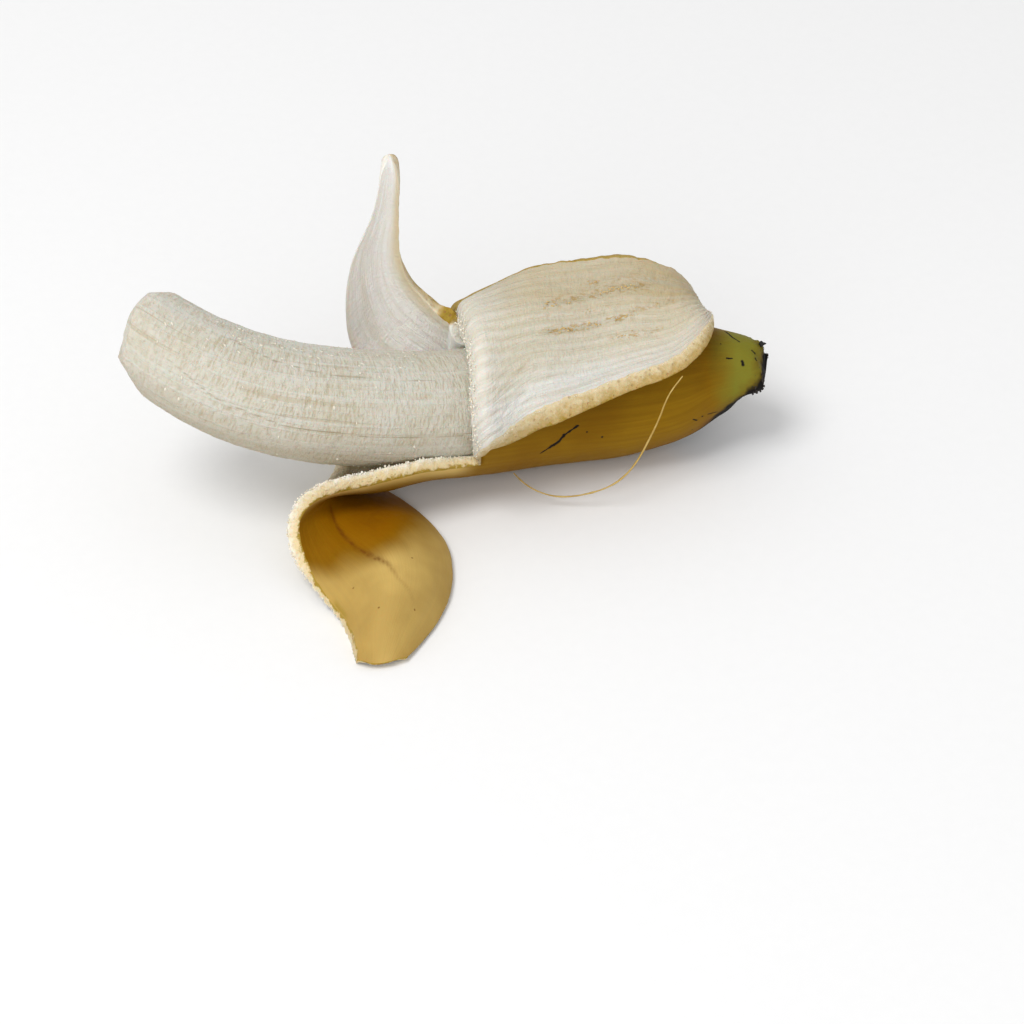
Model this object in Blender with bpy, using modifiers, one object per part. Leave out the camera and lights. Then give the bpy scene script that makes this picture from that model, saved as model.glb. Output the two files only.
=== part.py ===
"""A half-peeled banana lying on a flat surface.

Metres, +Z up, +X towards the blossom end. The banana lies on its belly with its peeled end raised.
The peel is torn into three strips: one is folded back over the unopened part, one stands up behind
the flesh with the stalk's stub, and one runs under the flesh, curls over and lies on the surface with
its skin up.

Angles round the banana are in degrees: 0 is the near side (-Y), 90 the top, 180 the far side and
270 the belly.
"""

import math

import bmesh
import bpy
import numpy as np

MM = 0.001

# Driving sizes, in millimetres
PEEL_THICKNESS = 2.8
FLESH_RADIUS = 14.4
STUB_THICKNESS = 5.0
TIP_THICKNESS = 1.8
STRAND_DIAMETER = 0.9
RIDGE_HEIGHT = 0.012
RIDGES = 5
TANGENT_STEP = 0.5

SKIN_COLOUR = (0.72, 0.50, 0.10)
FLESH_COLOUR = (0.83, 0.76, 0.60)
STRAND_COLOUR = (0.62, 0.42, 0.14)

# The banana's middle line, from beyond the bare tip to the blossom end
MIDDLE_LINE = (
    (-120.0, -12.0, 52.4),
    (-104.0, -19.6, 43.4),
    (-85.0, -23.5, 35.2),
    (-60.0, -20.5, 27.5),
    (-35.0, -11.5, 20.8),
    (-15.0, -3.2, 17.6),
    (0.0, 0.0, 17.1),
    (12.5, 2.6, 17.2),
    (28.0, 4.3, 19.2),
    (38.0, 2.6, 21.6),
    (43.0, 1.2, 22.8),
)

# Radius against the place along X, in millimetres
FLESH_PROFILE = (
    (-113.4, 0.0),
    (-113.2, 5.6),
    (-112.2, 9.6),
    (-109.8, 11.9),
    (-105.0, 12.9),
    (-92.0, 13.7),
    (-70.0, FLESH_RADIUS),
    (-30.0, FLESH_RADIUS),
    (0.0, 14.2),
    (12.5, 13.6),
    (21.0, 11.8),
    (28.0, 8.0),
    (32.5, 3.8),
    (34.0, 0.0),
)
SKIN_PROFILE = (
    (-118.0, 17.6),
    (-34.0, 17.6),
    (0.0, 17.5),
    (12.5, 17.0),
    (21.0, 15.3),
    (28.0, 12.4),
    (33.0, 10.4),
    (38.0, 8.4),
    (41.0, 6.8),
)

# The peel's sectors, as columns of this many degrees from the near split
COLUMN_ANGLE = 10.0
NEAR_SPLIT_ANGLE = -20.0
FOLDED_COLUMNS = 16
STANDING_COLUMNS = 9
CURLED_COLUMNS = 11
COLUMNS = FOLDED_COLUMNS + STANDING_COLUMNS + CURLED_COLUMNS

# The torn ring where the strips start: its place along X, and how far and towards which angle it leans
ROOT_X = -31.3
ROOT_LEAN = 5.9
ROOT_LEAN_ANGLE = 27.0
CUP_ROWS = 15
CUP_ROW_CROWDING = 1.25
CUP_END_X = 40.0
CUP_POLE_STEP = 0.8

# The fold of the folded strip: radius at its near and its far edge
NEAR_FOLD_RADIUS = 2.3
FAR_FOLD_RADIUS = 5.2
FOLD_ROWS = 8
NEAR_FOLD_TURN = 26.0
FAR_FOLD_TURN = -6.0

# Each strip's stations after its root: one edge, the other edge, and its middle's bulge towards the skin side
FOLDED_STATIONS = (
    ((-24.0, -28.4, 24.6), (-27.0, 7.5, 43.6), -10.5),
    ((-15.0, -26.2, 28.7), (-17.5, 8.5, 48.0), -4.0),
    ((-3.0, -23.0, 31.6), (-3.0, 10.5, 50.2), 2.4),
    ((10.0, -18.5, 34.2), (8.0, 12.0, 49.8), 4.0),
    ((20.0, -14.5, 36.5), (16.0, 13.5, 45.5), 3.4),
    ((26.0, -7.5, 38.5), (20.5, 15.5, 40.5), 1.6),
    ((28.5, 2.5, 36.5), (23.5, 18.5, 33.5), 0.8),
    ((28.5, 13.5, 30.5), (25.0, 22.5, 25.5), 0.8),
    ((28.2, 22.5, 20.0), (25.8, 27.0, 16.5), 0.5),
    ((27.8, 28.0, 9.0), (26.4, 30.0, 8.0), 0.2),
    ((27.4, 30.2, -0.6), (26.4, 31.8, -0.6), 0.1),
)
STANDING_STATIONS = (
    ((-39.5, 4.5, 38.0), (-48.0, 4.5, 15.0), 4.5),
    ((-44.0, 6.5, 42.5), (-60.0, 6.5, 24.0), 4.5),
    ((-48.0, 8.0, 48.0), (-63.0, 7.0, 41.0), 4.0),
    ((-49.7, 9.0, 55.0), (-61.0, 7.8, 54.0), 2.5),
    ((-49.8, 9.2, 62.0), (-57.7, 8.2, 62.5), 1.5),
    ((-49.6, 9.2, 70.0), (-55.4, 8.5, 71.0), 0.8),
    ((-49.4, 8.8, 77.0), (-54.2, 8.3, 77.5), 0.5),
    ((-50.2, 8.6, 81.5), (-52.9, 8.4, 81.7), 0.2),
)
CURLED_STATIONS = (
    ((-47.5, -5.0, 10.4), (-46.5, -33.4, 17.4), 9.6),
    ((-56.5, -6.5, 9.8), (-62.0, -37.0, 17.6), 7.4),
    ((-63.5, -8.5, 7.4), (-72.0, -41.5, 16.4), 4.8),
    ((-66.0, -12.5, 2.4), (-76.2, -48.0, 13.3), 2.5),
    ((-62.0, -18.0, 0.8), (-75.6, -55.0, 8.2), 2.5),
    ((-51.5, -27.5, 0.8), (-71.0, -62.0, 3.4), 5.5),
    ((-41.5, -40.0, 0.8), (-65.8, -67.0, 1.2), 8.5),
    ((-37.0, -54.0, 0.8), (-62.3, -72.0, 0.8), 9.6),
    ((-38.0, -66.0, 0.8), (-60.3, -77.0, 0.8), 9.0),
    ((-42.5, -76.5, 0.8), (-59.2, -81.5, 0.8), 6.0),
    ((-48.0, -83.0, 0.8), (-58.4, -84.5, 0.8), 2.0),
)
FOLDED_ROWS = 34
STANDING_ROWS = 28
CURLED_ROWS = 46
FOLDED_BLEND = (0.0, 9.0)
STANDING_BLEND = (0.0, 18.0)
CURLED_BLEND = (6.0, 30.0)

# Where along a strip its thickness starts to change towards the tip, and over which share of its length
TAPER_START = 0.55
TAPER_LENGTH = 0.4

# The bare tip's blunt end leans over by this much, fading out over a length of the flesh
TIP_LEAN = 3.0
TIP_LEAN_START = -92.0
TIP_LEAN_LENGTH = 20.0
FLESH_RINGS = 40
FLESH_SIDES = 36
END_RING_CROWDING = 0.9

# The loose string, from the folded strip's near edge to the unopened peel
STRAND_ROUTE = (
    (21.2, -17.4, 35.0),
    (18.6, -20.5, 31.0),
    (16.0, -22.5, 26.5),
    (13.2, -24.0, 20.5),
    (9.0, -25.0, 13.0),
    (3.5, -25.5, 7.5),
    (-3.5, -25.8, 4.4),
    (-10.0, -25.6, 3.4),
    (-15.5, -25.0, 4.6),
    (-19.4, -23.4, 6.4),
    (-21.6, -21.4, 7.6),
)
STRAND_POINTS = 28

# The block that takes a flat off the belly and the low edges, where they rest on a surface
FLOOR_CUT_WIDTH = 300.0
FLOOR_CUT_DEPTH = 20.0


def natural_spline(knots, values):
    """Returns a function that gives the smooth curve through the values at the knots."""
    knots = np.asarray(knots, float)
    values = np.asarray(values, float).reshape(len(knots), -1)
    steps = np.diff(knots)
    slopes = np.diff(values, axis=0) / steps[:, None]
    system = np.eye(len(knots))
    right = np.zeros_like(values)
    for i in range(1, len(knots) - 1):
        system[i, i - 1 : i + 2] = steps[i - 1], 2 * (steps[i - 1] + steps[i]), steps[i]
        right[i] = 6 * (slopes[i] - slopes[i - 1])
    bends = np.linalg.solve(system, right)

    def at(where):
        where = np.clip(np.atleast_1d(where), knots[0], knots[-1])
        i = np.clip(np.searchsorted(knots, where) - 1, 0, len(steps) - 1)
        step = steps[i][:, None]
        after = (where - knots[i])[:, None]
        before = step - after
        curve = (bends[i] * before**3 + bends[i + 1] * after**3) / (6 * step)
        start = (values[i] / step - bends[i] * step / 6) * before
        end = (values[i + 1] / step - bends[i + 1] * step / 6) * after
        return curve + start + end

    return at


def chord_lengths(points):
    points = np.asarray(points, float)
    return np.concatenate([[0], np.cumsum(np.linalg.norm(np.diff(points, axis=0), axis=1))])


def ease(value):
    value = np.clip(value, 0, 1)
    return value * value * (3 - 2 * value)


def unit(vectors):
    return vectors / np.linalg.norm(vectors, axis=-1, keepdims=True)


middle_line = natural_spline([p[0] for p in MIDDLE_LINE], MIDDLE_LINE)


def profile_radius(profile, x):
    """The radius at this X: straight runs between points that are close together."""
    places, radii = zip(*profile)
    return np.interp(x, places, radii)


def around(x, radius, angle):
    """Points at this radius and angle round the middle line at this X. All three may be arrays."""
    x, radius, angle = np.broadcast_arrays(*(np.asarray(v, float) for v in (x, radius, angle)))
    shape = x.shape
    x = np.clip(x, MIDDLE_LINE[0][0] + 1, MIDDLE_LINE[-1][0] - 1)
    centre = middle_line(x.ravel())
    along = unit(middle_line(x.ravel() + TANGENT_STEP) - middle_line(x.ravel() - TANGENT_STEP))
    up = np.array([0.0, 0.0, 1.0])
    up = unit(up - (along @ up)[:, None] * along)
    back = np.cross(up, along)
    turn = np.radians(angle.ravel())[:, None]
    ridged = radius.ravel()[:, None] * (1 + RIDGE_HEIGHT * np.cos(RIDGES * turn))
    points = centre + ridged * (np.sin(turn) * up - np.cos(turn) * back)
    return points.reshape(shape + (3,))


def skin_middle(x):
    """Radius of the middle of the peel's thickness."""
    return profile_radius(SKIN_PROFILE, x) - PEEL_THICKNESS / 2


def sector_angles(first, count):
    return NEAR_SPLIT_ANGLE + COLUMN_ANGLE * (first + np.arange(count + 1))


def root_x(angles):
    """Where the strips start, at these angles."""
    return ROOT_X - ROOT_LEAN * np.cos(np.radians(angles - ROOT_LEAN_ANGLE))


def loft(start, stations, count, rows):
    """Rows of points through the stations, each a bowed line from its first edge to its second."""
    first = np.array([start[0]] + [s[0] for s in stations])
    second = np.array([start[1]] + [s[1] for s in stations])
    bulge = np.array([start[2]] + [s[2] for s in stations])
    knots = chord_lengths((first + second) / 2)
    edges = natural_spline(knots, np.hstack([first, second]))
    places = np.linspace(0, knots[-1], rows + 1)
    bulges = natural_spline(knots, bulge)(places)[:, 0]
    ends = edges(places)
    one, other = ends[:, None, :3], ends[:, None, 3:]
    after = edges(np.minimum(places + TANGENT_STEP, knots[-1]))
    before = edges(np.maximum(places - TANGENT_STEP, 0))
    along = unit((after - before)[:, :3] + (after - before)[:, 3:])
    across = unit(other[:, 0] - one[:, 0])
    skin_side = unit(np.cross(across, along))
    share = np.linspace(0, 1, count + 1)[None, :, None]
    bow = 4 * share * (1 - share) * bulges[:, None, None] * skin_side[:, None]
    return one * (1 - share) + other * share + bow, places


def bowed_root(points):
    """The root's first and last point, and how far its middle stands off the line between them."""
    middle = points[len(points) // 2]
    return points[0], points[-1], np.linalg.norm(middle - (points[0] + points[-1]) / 2)


def mixed(first, second, places, span):
    share = ease((places - span[0]) / (span[1] - span[0]))[:, None, None]
    return first * (1 - share) + second * share


def trailing_strip(first_column, count, stations, rows, span):
    """A strip that leaves the root along the flesh, then follows its stations."""
    angles = sector_angles(first_column, count)
    start_x = root_x(angles)
    root = around(start_x, skin_middle(start_x), angles)
    free, places = loft(bowed_root(root), stations, count, rows)
    x = start_x[None, :] - places[:, None]
    laid = around(x, skin_middle(x), angles[None, :])
    return mixed(laid, free, places, span)


def folded_strip():
    """The strip folded back over the unopened peel: its fold's rows, then those along the stations."""
    angles = sector_angles(0, FOLDED_COLUMNS)
    start_x = root_x(angles)
    share = np.linspace(0, 1, FOLDED_COLUMNS + 1)
    fold_radius = NEAR_FOLD_RADIUS + (FAR_FOLD_RADIUS - NEAR_FOLD_RADIUS) * share
    turns = np.linspace(0, math.pi, FOLD_ROWS + 1)[:, None]
    turned = NEAR_FOLD_TURN * (1 - share) ** 2 + FAR_FOLD_TURN * share**2
    lifted = angles + turned * turns / math.pi
    height = skin_middle(start_x) + fold_radius * (1 - np.cos(turns))
    fold = around(start_x - fold_radius * np.sin(turns), height, lifted)
    near, far, arch = bowed_root(fold[-1])
    free, places = loft((near, far, -arch), FOLDED_STATIONS, FOLDED_COLUMNS, FOLDED_ROWS)
    x = start_x[None, :] + places[:, None]
    laid = around(x, skin_middle(start_x) + 2 * fold_radius, lifted[-1])
    return np.concatenate([fold, mixed(laid, free, places, FOLDED_BLEND)[1:]])


def add_grid(mesh, first_row, rows):
    """Adds rows of points after a row of vertices, with two triangles to each cell."""
    made = [first_row]
    for row in rows:
        made.append([mesh.verts.new(point * MM) for point in row])
    for lower, upper in zip(made, made[1:]):
        for j in range(len(lower) - 1):
            mesh.faces.new((lower[j], lower[j + 1], upper[j + 1]))
            mesh.faces.new((lower[j], upper[j + 1], upper[j]))
    return made


def peel_surface():
    """The middle of the peel's thickness as one open surface, and its strips' rows of vertices."""
    mesh = bmesh.new()
    angles = sector_angles(0, COLUMNS)[:-1]
    start_x = root_x(angles)
    share = np.linspace(0, 1, CUP_ROWS + 1)[:, None]
    x = CUP_END_X + (start_x - CUP_END_X) * share**CUP_ROW_CROWDING
    cup = around(x, skin_middle(x), angles)
    rings = [[mesh.verts.new(point * MM) for point in row] for row in cup]
    for lower, upper in zip(rings, rings[1:]):
        for j in range(COLUMNS):
            k = (j + 1) % COLUMNS
            mesh.faces.new((lower[j], lower[k], upper[k]))
            mesh.faces.new((lower[j], upper[k], upper[j]))
    pole = mesh.verts.new(middle_line(CUP_END_X + CUP_POLE_STEP)[0] * MM)
    for j in range(COLUMNS):
        mesh.faces.new((pole, rings[0][(j + 1) % COLUMNS], rings[0][j]))
    root = rings[-1] + rings[-1][:1]
    standing = FOLDED_COLUMNS + STANDING_COLUMNS
    folded = folded_strip()
    upright = trailing_strip(
        FOLDED_COLUMNS, STANDING_COLUMNS, STANDING_STATIONS, STANDING_ROWS, STANDING_BLEND
    )
    curled = trailing_strip(standing, CURLED_COLUMNS, CURLED_STATIONS, CURLED_ROWS, CURLED_BLEND)
    groups = {
        "folded": add_grid(mesh, root[: FOLDED_COLUMNS + 1], folded[1:]),
        "standing": add_grid(mesh, root[FOLDED_COLUMNS : standing + 1], upright[1:]),
        "curled": add_grid(mesh, root[standing:], curled[1:]),
    }
    return mesh, groups


def thickness_shares(groups, vertex_count):
    """Each vertex's share of the stub's thickness, which the two other strips' tips have least of."""
    shares = np.full(vertex_count, PEEL_THICKNESS / STUB_THICKNESS)
    tips = {"folded": TIP_THICKNESS, "standing": STUB_THICKNESS, "curled": TIP_THICKNESS}
    for name, rows in groups.items():
        for i, row in enumerate(rows[1:], 1):
            towards = ease((i / (len(rows) - 1) - TAPER_START) / TAPER_LENGTH)
            thickness = PEEL_THICKNESS + (tips[name] - PEEL_THICKNESS) * towards
            for vertex in row:
                shares[vertex.index] = thickness / STUB_THICKNESS
    return shares


def material(name, colour, roughness):
    made = bpy.data.materials.new(name)
    made.use_nodes = True
    shader = made.node_tree.nodes["Principled BSDF"]
    shader.inputs["Base Color"].default_value = (*colour, 1.0)
    shader.inputs["Roughness"].default_value = roughness
    shader.inputs["Metallic"].default_value = 0.0
    made.diffuse_color = (*colour, 1.0)
    return made


def add_object(name, data, collection, look=None):
    made = bpy.data.objects.new(name, data)
    collection.objects.link(made)
    if look:
        data.materials.append(look)
    return made


def build_peel(parts, cutters):
    mesh, groups = peel_surface()
    mesh.verts.index_update()
    shares = thickness_shares(groups, len(mesh.verts))
    data = bpy.data.meshes.new("peel")
    mesh.to_mesh(data)
    mesh.free()
    peel = add_object("peel", data, parts, material("banana_skin", SKIN_COLOUR, 0.45))
    group = peel.vertex_groups.new(name="thickness")
    for index, share in enumerate(shares):
        group.add([index], float(share), "REPLACE")
    wall = peel.modifiers.new("wall", "SOLIDIFY")
    wall.thickness = STUB_THICKNESS * MM
    wall.offset = 0.0
    wall.vertex_group = "thickness"
    wall.use_quality_normals = True
    flat = peel.modifiers.new("rest_flats", "BOOLEAN")
    flat.operation = "DIFFERENCE"
    flat.object = floor_cutter(cutters)
    data.shade_smooth()
    return peel


def floor_cutter(cutters):
    """A block whose top is the surface that the banana rests on."""
    mesh = bmesh.new()
    bmesh.ops.create_cube(mesh, size=1.0)
    size = (FLOOR_CUT_WIDTH * MM, FLOOR_CUT_WIDTH * MM, FLOOR_CUT_DEPTH * MM)
    bmesh.ops.scale(mesh, vec=size, verts=mesh.verts)
    data = bpy.data.meshes.new("floor_cutter")
    mesh.to_mesh(data)
    mesh.free()
    cutter = add_object("floor_cutter", data, cutters)
    cutter.location = (0.0, 0.0, -FLOOR_CUT_DEPTH * MM / 2)
    cutter.hide_render = True
    cutter.display_type = "WIRE"
    return cutter


def build_flesh(parts):
    """One loft along the middle line, closed at both ends by a pole."""
    start, end = FLESH_PROFILE[0][0], FLESH_PROFILE[-1][0]
    share = np.linspace(0, 1, FLESH_RINGS + 2)
    share = share - END_RING_CROWDING * np.sin(2 * math.pi * share) / (2 * math.pi)
    x = start + (end - start) * share
    angles = 360.0 / FLESH_SIDES * np.arange(FLESH_SIDES)
    x = x[1:-1, None]
    radius = profile_radius(FLESH_PROFILE, x)
    lean = TIP_LEAN * ease((TIP_LEAN_START - x) / TIP_LEAN_LENGTH) * radius / FLESH_RADIUS
    rings = around(x - lean * np.sin(np.radians(angles)), radius, angles)
    mesh = bmesh.new()
    made = [[mesh.verts.new(point * MM) for point in ring] for ring in rings]
    for lower, upper in zip(made, made[1:]):
        for j in range(FLESH_SIDES):
            k = (j + 1) % FLESH_SIDES
            mesh.faces.new((lower[j], upper[j], upper[k], lower[k]))
    for place, ring in ((start, made[0]), (end, made[-1])):
        pole = mesh.verts.new(middle_line(place)[0] * MM)
        for j in range(FLESH_SIDES):
            mesh.faces.new((pole, ring[j], ring[(j + 1) % FLESH_SIDES]))
    bmesh.ops.recalc_face_normals(mesh, faces=mesh.faces)
    data = bpy.data.meshes.new("flesh")
    mesh.to_mesh(data)
    mesh.free()
    data.shade_smooth()
    return add_object("flesh", data, parts, material("banana_flesh", FLESH_COLOUR, 0.5))


def build_strand(parts):
    """The loose string: a thin tube along a smooth curve through its route."""
    knots = chord_lengths(STRAND_ROUTE)
    points = natural_spline(knots, STRAND_ROUTE)(np.linspace(0, knots[-1], STRAND_POINTS))
    data = bpy.data.curves.new("phloem_strand", "CURVE")
    data.dimensions = "3D"
    data.bevel_depth = STRAND_DIAMETER / 2 * MM
    data.bevel_resolution = 2
    data.use_fill_caps = True
    line = data.splines.new("POLY")
    line.points.add(len(points) - 1)
    for place, point in zip(line.points, points):
        place.co = (*(point * MM), 1.0)
    return add_object("phloem_strand", data, parts, material("strand_fibre", STRAND_COLOUR, 0.6))


def stand_on_origin(objects, followers):
    """Moves everything so that the origin is under the middle of the object's box."""
    bpy.context.view_layer.update()
    graph = bpy.context.evaluated_depsgraph_get()
    corners = []
    for made in objects:
        shape = made.evaluated_get(graph)
        data = shape.to_mesh()
        corners += [vertex.co.copy() for vertex in data.vertices]
        shape.to_mesh_clear()
    low = [min(corner[axis] for corner in corners) for axis in range(2)]
    high = [max(corner[axis] for corner in corners) for axis in range(2)]
    shift = [-(low[axis] + high[axis]) / 2 for axis in range(2)]
    for made in objects + followers:
        made.location.x += shift[0]
        made.location.y += shift[1]
    bpy.context.view_layer.update()
    return shift


def main():
    for old in list(bpy.data.objects):
        bpy.data.objects.remove(old, do_unlink=True)
    parts = bpy.data.collections.new("half_peeled_banana")
    cutters = bpy.data.collections.new("cutters")
    for made in (parts, cutters):
        bpy.context.scene.collection.children.link(made)
    objects = [build_peel(parts, cutters), build_flesh(parts), build_strand(parts)]
    return stand_on_origin(objects, list(cutters.objects))


SHIFT = main()
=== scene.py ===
from functools import partial
import math

import bpy
import numpy as np
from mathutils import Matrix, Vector


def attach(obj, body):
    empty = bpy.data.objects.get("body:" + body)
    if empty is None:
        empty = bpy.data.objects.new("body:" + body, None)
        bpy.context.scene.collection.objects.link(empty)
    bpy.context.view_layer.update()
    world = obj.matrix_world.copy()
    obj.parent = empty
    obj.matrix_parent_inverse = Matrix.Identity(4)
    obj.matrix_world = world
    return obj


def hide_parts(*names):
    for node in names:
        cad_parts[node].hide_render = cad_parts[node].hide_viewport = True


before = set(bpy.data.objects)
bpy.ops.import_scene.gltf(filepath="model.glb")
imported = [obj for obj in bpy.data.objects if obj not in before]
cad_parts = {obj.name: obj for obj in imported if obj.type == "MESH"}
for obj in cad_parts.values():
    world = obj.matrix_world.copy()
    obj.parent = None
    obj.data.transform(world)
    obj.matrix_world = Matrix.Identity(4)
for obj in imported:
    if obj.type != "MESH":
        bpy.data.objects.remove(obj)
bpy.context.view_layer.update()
print("frame loaded")

mm = 0.001
originShift = np.array([36.617, 26.370, 0.0])  # from the banana's own middle line to the origin, in millimetres


# curves and noise that several pieces share

def smoothCurve(knots, values):  # the natural spline through the values at the knots
    knots = np.asarray(knots, float)
    values = np.asarray(values, float).reshape(len(knots), -1)
    steps = np.diff(knots)
    slopes = np.diff(values, axis=0) / steps[:, None]
    system = np.eye(len(knots))
    right = np.zeros_like(values)
    for i in range(1, len(knots) - 1):
        system[i, i - 1:i + 2] = steps[i - 1], 2 * (steps[i - 1] + steps[i]), steps[i]
        right[i] = 6 * (slopes[i] - slopes[i - 1])
    bends = np.linalg.solve(system, right)

    def at(where):
        where = np.clip(np.atleast_1d(where), knots[0], knots[-1])
        i = np.clip(np.searchsorted(knots, where) - 1, 0, len(steps) - 1)
        step = steps[i][:, None]
        after = (where - knots[i])[:, None]
        before = step - after
        curve = (bends[i] * before ** 3 + bends[i + 1] * after ** 3) / (6 * step)
        start = (values[i] / step - bends[i] * step / 6) * before
        end = (values[i + 1] / step - bends[i + 1] * step / 6) * after
        return curve + start + end

    return at


def runLengths(points):
    steps = np.linalg.norm(np.diff(np.asarray(points, float), axis=0), axis=-1)
    return np.concatenate([np.zeros((1,) + steps.shape[1:]), np.cumsum(steps, axis=0)])


def ease(value):
    value = np.clip(value, 0, 1)
    return value * value * (3 - 2 * value)


def rise(value, start, length):  # from 0 at start to 1 a length further on, which may be negative
    return ease((value - start) / length)


def bell(value, width):
    return np.exp(-(value / width) ** 2)


def unit(vectors):
    return vectors / np.maximum(np.linalg.norm(vectors, axis=-1, keepdims=True), 1e-9)


def softNoise(u, v, seed):  # smooth values from -1 to 1 over a plane
    table = np.random.default_rng(int(seed)).uniform(-1, 1, (64, 64))
    u, v = np.broadcast_arrays(np.asarray(u, float), np.asarray(v, float))
    i, j = np.floor(u).astype(int), np.floor(v).astype(int)
    a, b = ease(u - i), ease(v - j)
    lower = table[i % 64, j % 64] * (1 - a) + table[(i + 1) % 64, j % 64] * a
    upper = table[i % 64, (j + 1) % 64] * (1 - a) + table[(i + 1) % 64, (j + 1) % 64] * a
    return lower * (1 - b) + upper * b


def roughNoise(u, v, seed, octaves=3):
    return sum(softNoise(u * 2 ** k, v * 2 ** k, seed + k) * 0.6 ** k for k in range(octaves))


def follow(where, pairs):  # a value that changes along a list of (place, value) pairs
    return np.interp(where, *zip(*pairs))


# the banana's own middle line, which the peel and the flesh both follow

bodyLine = {
    "path": [(-120, -12, 52.4), (-104, -19.6, 43.4), (-85, -23.5, 35.2), (-60, -20.5, 27.5), (-35, -11.5, 20.8),
             (-15, -3.2, 17.6), (0, 0, 17.1), (12.5, 2.6, 17.2), (28, 4.3, 19.2), (38, 2.6, 21.6), (43, 1.2, 22.8)],
    "ridgeHeight": 0.012,  # the five soft edges along the fruit, as a share of its radius
    "ridges": 5,
}
middleLine = smoothCurve([p[0] for p in bodyLine["path"]], bodyLine["path"])


def around(x, radius, angle):  # 0 degrees is the near side, 90 the top
    x, radius, angle = np.broadcast_arrays(*(np.asarray(v, float) for v in (x, radius, angle)))
    shape = x.shape
    x = np.clip(x.ravel(), bodyLine["path"][0][0] + 1, bodyLine["path"][-1][0] - 1)
    along = unit(middleLine(x + 0.5) - middleLine(x - 0.5))
    up = np.array([0.0, 0.0, 1.0])
    up = unit(up - (along @ up)[:, None] * along)
    back = np.cross(up, along)
    turn = np.radians(angle.ravel())[:, None]
    ridged = radius.ravel()[:, None] * (1 + bodyLine["ridgeHeight"] * np.cos(bodyLine["ridges"] * turn))
    return (middleLine(x) + ridged * (np.sin(turn) * up - np.cos(turn) * back)).reshape(shape + (3,))


def addObject(name, data):
    made = bpy.data.objects.new(name, data)
    bpy.context.scene.collection.objects.link(made)
    return made


def addMesh(name, points, faces, attributes):
    data = bpy.data.meshes.new(name)
    data.from_pydata((np.asarray(points) + originShift) * mm, [], faces)
    for key, values in attributes.items():
        values = np.asarray(values, np.float32)
        kind, field = ("FLOAT_VECTOR", "vector") if values.ndim == 2 else ("FLOAT", "value")
        data.attributes.new(key, kind, "POINT").data.foreach_set(field, values.ravel())
    data.shade_smooth()
    data.update()
    return addObject(name, data)


def vertexNormals(points, quads):
    corners = points[quads]
    across = np.cross(corners[:, 2] - corners[:, 0], corners[:, 3] - corners[:, 1])
    normals = np.zeros_like(points)
    for k in range(4):
        np.add.at(normals, quads[:, k], across)
    return unit(normals)


# the peel

peelShape = {
    "thickness": 2.8, "stubThickness": 3.6, "tipThickness": 1.8,
    "skinRadius": [(-118, 17.6), (-34, 17.6), (0, 17.5), (12.5, 17.0), (21, 15.3), (28, 12.4), (33, 10.4),
                   (38, 8.4), (41, 6.8)],
    "splitAngle": -20, "cupEnd": 40.0, "poleStep": 0.8,
    "rootX": -31.3, "rootLean": 5.9, "rootLeanAngle": 27,
    "columnAngle": 2.0, "cupRows": 74, "rowSpread": 1.15, "foldRows": 22, "rimSteps": 8,
    # the blossom end is cut at a slant: its low side rises and draws back, and its outer side bulges
    "endLift": 3.2, "bellyLift": 1.3, "rimLift": 1.4, "endShear": 4.8,
    "endBulge": 1.4, "bulgeAngle": 15, "bulgeWide": 38,
}
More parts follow.
